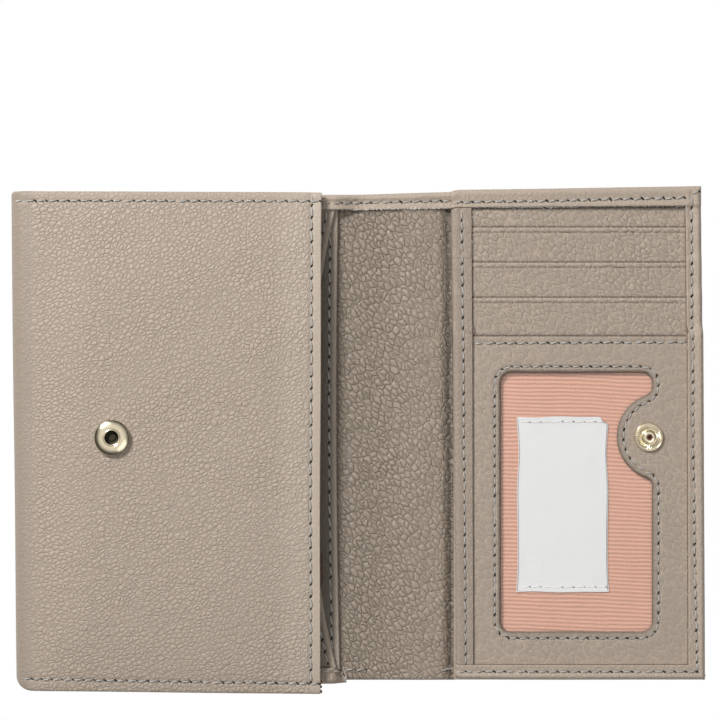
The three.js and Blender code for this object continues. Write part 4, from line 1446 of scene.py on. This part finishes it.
def left_cover():
    front_xs = lines(FOLD_CENTRE + 0.8, FRONT_EDGE, 1.1, (-22.5,))
    stations = lines(FRONT_BOTTOM, FRONT_TOP, 1.2, (75.5, -78.2))
    back_xs = np.linspace(COVER_END, FOLD_CENTRE + 1.5, 40)
    rings = [cover_ring(station, back_xs, front_xs) for station in stations]
    piece = ring_skin("left_cover_leather", rings, GRAIN_LEFT)
    fold = lambda x, start, reach: 1 - smooth((x - LEFT_FOLD - start) / reach)
    hem = lambda y: smooth((y - 74.6) / 1.5)
    margin = lambda x: smooth((x - FRONT_EDGE + 4.2) / 1.2)
    # Lighter at the cut edge and over the smooth margin beside it; painted shade round the fold and a little
    # along the top hem.
    layers = {
        "wear_and_highlight": lambda x, y: 0.7 * bell(FRONT_EDGE - x, 0.5) + 0.6 * smooth((x - FRONT_EDGE + 16) / 8),
        "shade": lambda x, y: 0.27 * fold(x, 3, 7) + 0.05 * hem(y),
        "calm": lambda x, y: 0.75 * margin(x) + 0.45 * hem(y) + 0.55 * fold(x, 5, 5),
    }
    for layer, share in layers.items():
        tone(piece, layer, lambda x, y, z: (z > FRONT_SEAM / 2) * share(x, y))
    return piece


def left_hem(side):
    """The rigid part of a hem over the dividers, up to where it starts to bend with the fold."""
    low, high = sorted((side * TOP_EDGE, side * HEM_FOOT))
    xs = lines(FOLD_CENTRE, LEFT_HEM_END, 1.2)
    ys = lines(low, high, 0.7, (side * SPINE_SEAM_Y,))
    if side > 0:
        return plate("left_hem_top", xs, ys, HEM_UNDER, top_hem_height, SMOOTH, spine_shift)
    return plate("left_hem_bottom", xs, ys, HEM_UNDER, bottom_hem_height, SMOOTH_DARK, flap_shift)


# How far from the middle the dividers lie close enough to the top for light to reach them
DIVIDER_LIT = 62
# The seam of a divider's free edge, and the grid lines' distances from that edge
DIVIDER_SEAM = 2.45
DIVIDER_LINES = (12, 9, 6, 4, 3, 2.7, 2.45, 2.2, 1.9, 1.4, 1, 0.7, 0.45, 0.25, 0.1, 0)


def divider(tag, low, high, edge_at):
    """A leather divider whose free edge is folded and sewn. edge_at(y) is where the edge runs."""
    ys = lines(-HEM_FOOT - 1.6, HEM_FOOT + 1.6, 1.1)
    span = high[0] - low[0]
    shares = np.concatenate([[0, 0.4, 0.7], 1 - np.array(DIVIDER_LINES) / span])
    radius = (high[2] - low[2]) / 2
    rings = []
    for y in ys:
        end = edge_at(y)
        xs = low[0] + (end - low[0]) * shares
        away = end - xs
        level = high[2] - rounding(away, radius * 0.8) - 0.2 * bell(away - DIVIDER_SEAM, 0.5)
        level = level + 0.1 * ripple(xs, y + 0 * xs, 13, 80)
        top = np.column_stack([xs, np.full(len(xs), y), level])
        under = top[::-1].copy()
        under[:, 2] = low[2] + rounding(end - under[:, 0], radius * 0.8) * 0.9
        rings.append(np.vstack([top, under[1:]]))
    piece = ring_skin(f"divider_{tag}_leather", rings, SMOOTH_DARK)
    # Painted highlight along the folded edge, and painted shade further in, under the front panel, less of
    # it near the ends.
    away = lambda x, y: edge_at(y) - x
    tone(piece, "wear_and_highlight", lambda x, y, z: 0.9 * bell(away(x, y) - 0.6, 0.6))
    deep = lambda y: 0.7 - 0.35 * smooth((abs(y) - DIVIDER_LIT) / 10)
    tone(piece, "shade", lambda x, y, z: deep(y) * smooth((away(x, y) - 1.0) / 2.2))
    return piece


# Edges of the dividers: where they end at the hems, and how far and how soon they bow back
UPPER_END, UPPER_BOW, UPPER_BEND, UPPER_HALF = -14.45, 12, 0.0215, 73.8
LOWER_AT, LOWER_SLANT, LOWER_BOW, LOWER_HALF = -13.4, 0.28, 0.95, 78


def upper_edge(y):
    """The upper divider bows away from the spine, as its opening hangs loose."""
    return UPPER_END - UPPER_BOW * (1 - np.exp(-UPPER_BEND * np.maximum(UPPER_HALF - abs(y), 0)))


def lower_edge(y):
    """The lower divider's edge, which is nearly straight."""
    return LOWER_AT - LOWER_SLANT * y / LOWER_HALF - LOWER_BOW * (1 - (y / LOWER_HALF) ** 2)


def divider_seam(edge_at):
    return [(edge_at(y) - DIVIDER_SEAM, y) for y in np.linspace(73, -73, 40)]


# Sections of a gusset [distance from its outer end, height]: round its outside, then round its inside
GUSSET_REACH = 12
GUSSET_OUTSIDE = ((0, 0.75), (4, 0.62), (11, 0.5), (GUSSET_REACH, 0), (11, -0.5), (4, -0.5), (0, -0.55))
GUSSET_INSIDE = ((0, -0.15), (4, -0.1), (10, 0), (4, 0.15), (0, 0.3))


def gusset(side):
    """A strip folded in on itself between the hem and the front panel."""
    low, high = box("gusset_top" if side > 0 else "gusset_bottom")
    outer = side * max(abs(low[1]), abs(high[1]))
    rings = []
    for share in np.linspace(0, 1, 60):
        x = low[0] + share * (high[0] - low[0])
        middle = (low[2] + high[2]) / 2 + 0.25 * math.sin(math.pi * share)
        section = GUSSET_OUTSIDE + GUSSET_INSIDE
        rings.append(np.array([(x, outer - side * away, middle + height) for away, height in section]))
    return ring_skin(f"gusset_{'top' if side > 0 else 'bottom'}_leather", rings, SMOOTH_DARK)


# Where the lining's edge has worked out from under the front panel
LOOSE_AT, LOOSE_LONG, LOOSE_OUT = -42.4, 8.5, 0.8
CLOTH_THICKNESS = 0.3


def compartment_cloth():
    low, high = box("compartment_lining")
    xs = lines(FOLD_CENTRE + 1, high[0], 2.5)
    ys = lines(low[1], high[1], 2.5)
    x, y = np.meshgrid(xs, ys)
    top = np.stack([x, y, front_top(x, front_share(y)) - SHELL - 0.1], axis=-1)
    top[..., 2] += 0.2 * ripple(x, y, CROWN_WAVE_SIZE, CROWN_WAVE_SEED) - 0.15
    loose = smooth((x - high[0] + 8) / 8) * bell(y - LOOSE_AT, LOOSE_LONG, 4)
    top[..., 0] += loose * (FRONT_EDGE + LOOSE_OUT - high[0])
    under = top - np.array([0, 0, CLOTH_THICKNESS])
    points = np.vstack([top.reshape(-1, 3), under.reshape(-1, 3)])
    faces = grid_faces(*x.shape) + [face[::-1] for face in grid_faces(*x.shape, x.size)]
    rim = rim_of(*x.shape)
    for here, after in zip(rim, rim[1:] + rim[:1]):
        faces.append((here, here + x.size, after + x.size, after))
    piece = add_mesh("compartment_lining_cloth", points, faces, LINING_IN_SHADE_CLOTH)
    outwards(piece)
    return piece


def build_left_block():
    body = "left_block"
    dressed(left_cover(), body, "tan_leather", "left_cover")
    for side in (1, -1):
        dressed(left_hem(side), body, "tan_leather")
        dressed(gusset(side), body, "tan_leather", "gusset_top" if side > 0 else "gusset_bottom")
    dressed(divider("upper", UPPER_LOW, UPPER_HIGH, upper_edge), body, "tan_leather", "divider_upper")
    dressed(divider("lower", LOWER_LOW, LOWER_HIGH, lower_edge), body, "tan_leather", "divider_lower")
    inner_ply("left", 5, end=INNER_LEFT_END - 0.1)
    # The lining is coloured as the pink lining looks in deep shade: painted shade.
    dressed(compartment_cloth(), body, "rust_lining", "compartment_lining")
    left_seams()
    tears = ((0.4, 0), (1.6, 0.7), (2.7, 0.3))
    corner = [(FRONT_EDGE - 0.1, FRONT_BOTTOM + rise, 8.6 - drop) for rise, drop in tears]
    flakes("torn_front_corner", corner, 0.75, body, TORN_LEATHER, 17)


def left_seams():
    body = "left_block"
    for number, (seam, pitch) in enumerate(FRONT_SEAMS):
        sewn(f"thread_front_{number + 1}", seam, pitch, front_level, body, left_shift, 10 + number)
    dividers = (("upper", upper_edge, UPPER_HIGH, 14), ("lower", lower_edge, LOWER_HIGH, 15))
    for name, edge_at, high, seed in dividers:
        level = flat_at(high[2] - 0.15)
        sewn(f"thread_divider_{name}", divider_seam(edge_at), STITCH_LONG, level, body, None, seed)
    hems = (
        ("top", SPINE_SEAM_Y, top_hem_height, spine_shift, 16),
        ("bottom", -BOTTOM_SEAM_Y, bottom_hem_height, flap_lowered, 18),
    )
    for name, y, height, shift, seed in hems:
        seam = [(-26, y), (LEFT_HEM_END, y)]
        sewn(f"thread_left_hem_{name}", seam, STITCH_SHORT, height, body, shift, seed)


# Snap fastener, turned about an upright axis


BEVEL = 0.05
FLUTES = 34
FLUTE_RADIUS, FLUTE_SPREAD, FLUTE_DEPTH = 3.3, 0.65, 0.11


def crisp(profile):
    """The profile with two more points beside each corner, which keep its reflections sharp."""
    points = [np.array(point, float) for point in profile]
    found = []
    for before, point, after in zip([points[-1], *points[:-1]], points, [*points[1:], points[0]]):
        for other in (before, after):
            run = other - point
            length = np.hypot(*run)
            found.append(point + run * min(0.25, BEVEL / max(length, BEVEL)))
    return found


def lathe(name, profile, x, y, base, material, segments=96, ribs=None):
    """A turned piece: a closed profile of [radius, height] swept about an upright axis."""
    rings = []
    for radius, height in crisp(profile):
        angles = np.linspace(0, 2 * math.pi, segments, endpoint=False)
        lift = ribs(radius, angles) if ribs else 0 * angles
        spots = [x + radius * np.cos(angles), y + radius * np.sin(angles), base + height + lift]
        rings.append(np.column_stack(spots))
    return ring_skin(name, rings, material, close=True)


def rounded(radius, height, across, up, start, end, count):
    """Profile points [radius, height] along an elliptic arc."""
    angles = np.radians(np.linspace(start, end, count))
    return [(radius + across * math.cos(a), height + up * math.sin(a)) for a in angles]


SOCKET_SPREAD = 0.2
SOCKET_CROWN = 3.0
SOCKET_MOUTH = 2.3
SOCKET_DOME = 0.12


def socket_ring():
    """The shallow dome with its rolled mouth."""
    socket_x = (SOCKET_LOW[0] + SOCKET_HIGH[0]) / 2
    socket_y = (SOCKET_LOW[1] + SOCKET_HIGH[1]) / 2
    tall = SOCKET_HIGH[2] - SOCKET_LOW[2]
    outer = SOCKET_HIGH[0] - socket_x + SOCKET_SPREAD
    radii = np.linspace(outer - 0.12, SOCKET_CROWN, 9)
    dome = [(radius, tall - SOCKET_DOME * (radius - SOCKET_CROWN) ** 2) for radius in radii]
    profile = [(1.25, 0), (outer - 0.4, 0), (outer, 0.2), (outer, dome[0][1] - 0.15)]
    profile += [*dome, (2.8, tall * 0.985)]
    profile += rounded(2.45, tall * 0.9, 0.3, tall * 0.1, 20, 180, 7)
    profile += [(2.1, tall * 0.7), (2.1, 0.5), (1.25, 0.4)]
    piece = lathe("snap_socket_ring", profile, socket_x, socket_y, SOCKET_LOW[2], PALE_BRASS)
    # Faces inside the mouth take the near-black brass: painted shade in the hole.
    piece.data.materials.append(SHADED_BRASS)
    for face in piece.data.polygons:
        away = math.hypot(face.center.x / MM - socket_x, face.center.y / MM - socket_y)
        face.material_index = int(away < SOCKET_MOUTH)
    return piece


def stud_cap():
    """The dished stud: rolled rim, fluted dish and a ball with a hole in its top."""
    tall = STUD_HIGH[2] - STUD_LOW[2]
    outer = STUD_HIGH[0] - STUD_X
    profile = [(1.2, 0), (outer - 0.4, 0)]
    profile += rounded(outer - 0.3, 0.5, 0.3, 0.42, -70, 150, 9)
    profile += [(4.08, 0.7), (3.92, 0.74), (2.65, 0.16), (2.35, 0.16), (2.06, 0.5), (2.04, tall * 0.82)]
    profile += [(1.9, tall * 0.92), (1.05, tall * 0.985), (0.86, tall * 0.92), (0.78, 0.3)]

    def flutes(radius, angles):
        return FLUTE_DEPTH * bell(radius - FLUTE_RADIUS, FLUTE_SPREAD, 4) * np.cos(angles * FLUTES)

    return lathe("snap_stud_cap", profile, STUD_X, STUD_Y, STUD_LOW[2], PALE_BRASS, FLUTES * 6, flutes)


def build_snap():
    dressed(socket_ring(), "left_block", "pale_brass", "snap_socket")
    dressed(stud_cap(), "right_block", "pale_brass", "snap_stud")
    # The spring and cap inside the socket's hole take the near-black brass as painted shade; the stud's post
    # keeps its brown.
    for node in ("snap_socket_spring", "snap_socket_cap", "snap_stud_post"):
        mesh = frame["nodes"][node].data
        mesh.materials.clear()
        mesh.materials.append(SHADED_BRASS if "socket" in node else BROWN_POST)


# Camera, floor and light

FLOOR_HALF, FLOOR_LEVEL = 1500, -0.05
# Lamps: name, place and size in metres, and power
LAMPS = (("key_light", (-0.6, 0.7, 0.85), 0.3, 15.4), ("fill_light", (0.5, -0.6, 1.0), 0.9, 2))


def build_camera():
    data = bpy.data.cameras.new("camera")
    data.lens = CAMERA_LENS
    data.sensor_width = SENSOR
    data.clip_start = 0.01
    camera = bpy.data.objects.new("camera", data)
    camera.location = [value * MM for value in CAMERA_AT]
    bpy.context.scene.collection.objects.link(camera)
    bpy.context.scene.camera = camera


def build_floor():
    make = Nodes("pale_floor")
    shade = make.mix(make.noise(make.mapped((90, 90, 90)), 1.0), (0.86, 0.86, 0.86), (0.9, 0.9, 0.9))
    make.finish(shade, 0.9)
    glow = make.add("Emission", Strength=1.0)
    path = make.add("LightPath")
    seen = make.add("MixShader")
    rays = ("Camera", "Glossy", "Transmission")
    shown = make.total(*[(1.0, path.outputs[f"Is {ray} Ray"]) for ray in rays])
    make.link(make.maths("MINIMUM", shown, 1.0), seen.inputs[0])
    make.link(make.shader.outputs[0], seen.inputs[1])
    make.link(glow.outputs[0], seen.inputs[2])
    make.link(seen.outputs[0], make.tree.nodes["Material Output"].inputs["Surface"])
    square = ((-1, -1), (1, -1), (1, 1), (-1, 1))
    corners = [(FLOOR_HALF * x, FLOOR_HALF * y, FLOOR_LEVEL) for x, y in square]
    add_mesh("floor", corners, [(0, 1, 2, 3)], make.material)


def add_light(name, at, size, power):
    """A round lamp that is aimed at the middle of the scene."""
    data = bpy.data.lights.new(name, "AREA")
    data.shape = "DISK"
    data.size = size
    data.energy = power
    light = bpy.data.objects.new(name, data)
    light.location = at
    aim = -light.location
    light.rotation_euler = aim.to_track_quat("-Z", "Y").to_euler()
    bpy.context.scene.collection.objects.link(light)


HORIZON, ZENITH = 0.05, 0.85
SKY_START = 0.55


def build_world():
    """Soft studio light that is brighter overhead than round the sides."""
    world = bpy.data.worlds.new("studio")
    world.use_nodes = True
    tree = world.node_tree
    place = tree.nodes.new("ShaderNodeTexCoord")
    parts = tree.nodes.new("ShaderNodeSeparateXYZ")
    ramp = tree.nodes.new("ShaderNodeMapRange")
    ramp.interpolation_type = "SMOOTHSTEP"
    ramp.inputs["From Min"].default_value = SKY_START
    ramp.inputs["To Min"].default_value = HORIZON
    ramp.inputs["To Max"].default_value = ZENITH
    background = tree.nodes["Background"]
    background.inputs["Color"].default_value = (1, 1, 1, 1)
    tree.links.new(place.outputs["Generated"], parts.inputs["Vector"])
    tree.links.new(parts.outputs["Z"], ramp.inputs["Value"])
    tree.links.new(ramp.outputs["Result"], background.inputs["Strength"])
    bpy.context.scene.world = world


def build_lights():
    build_world()
    for lamp in LAMPS:
        add_light(*lamp)


build_camera()
build_floor()
build_lights()
build_right_block()
build_spine()
build_left_block()
build_snap()

bpy.context.scene.view_settings.view_transform = "Standard"
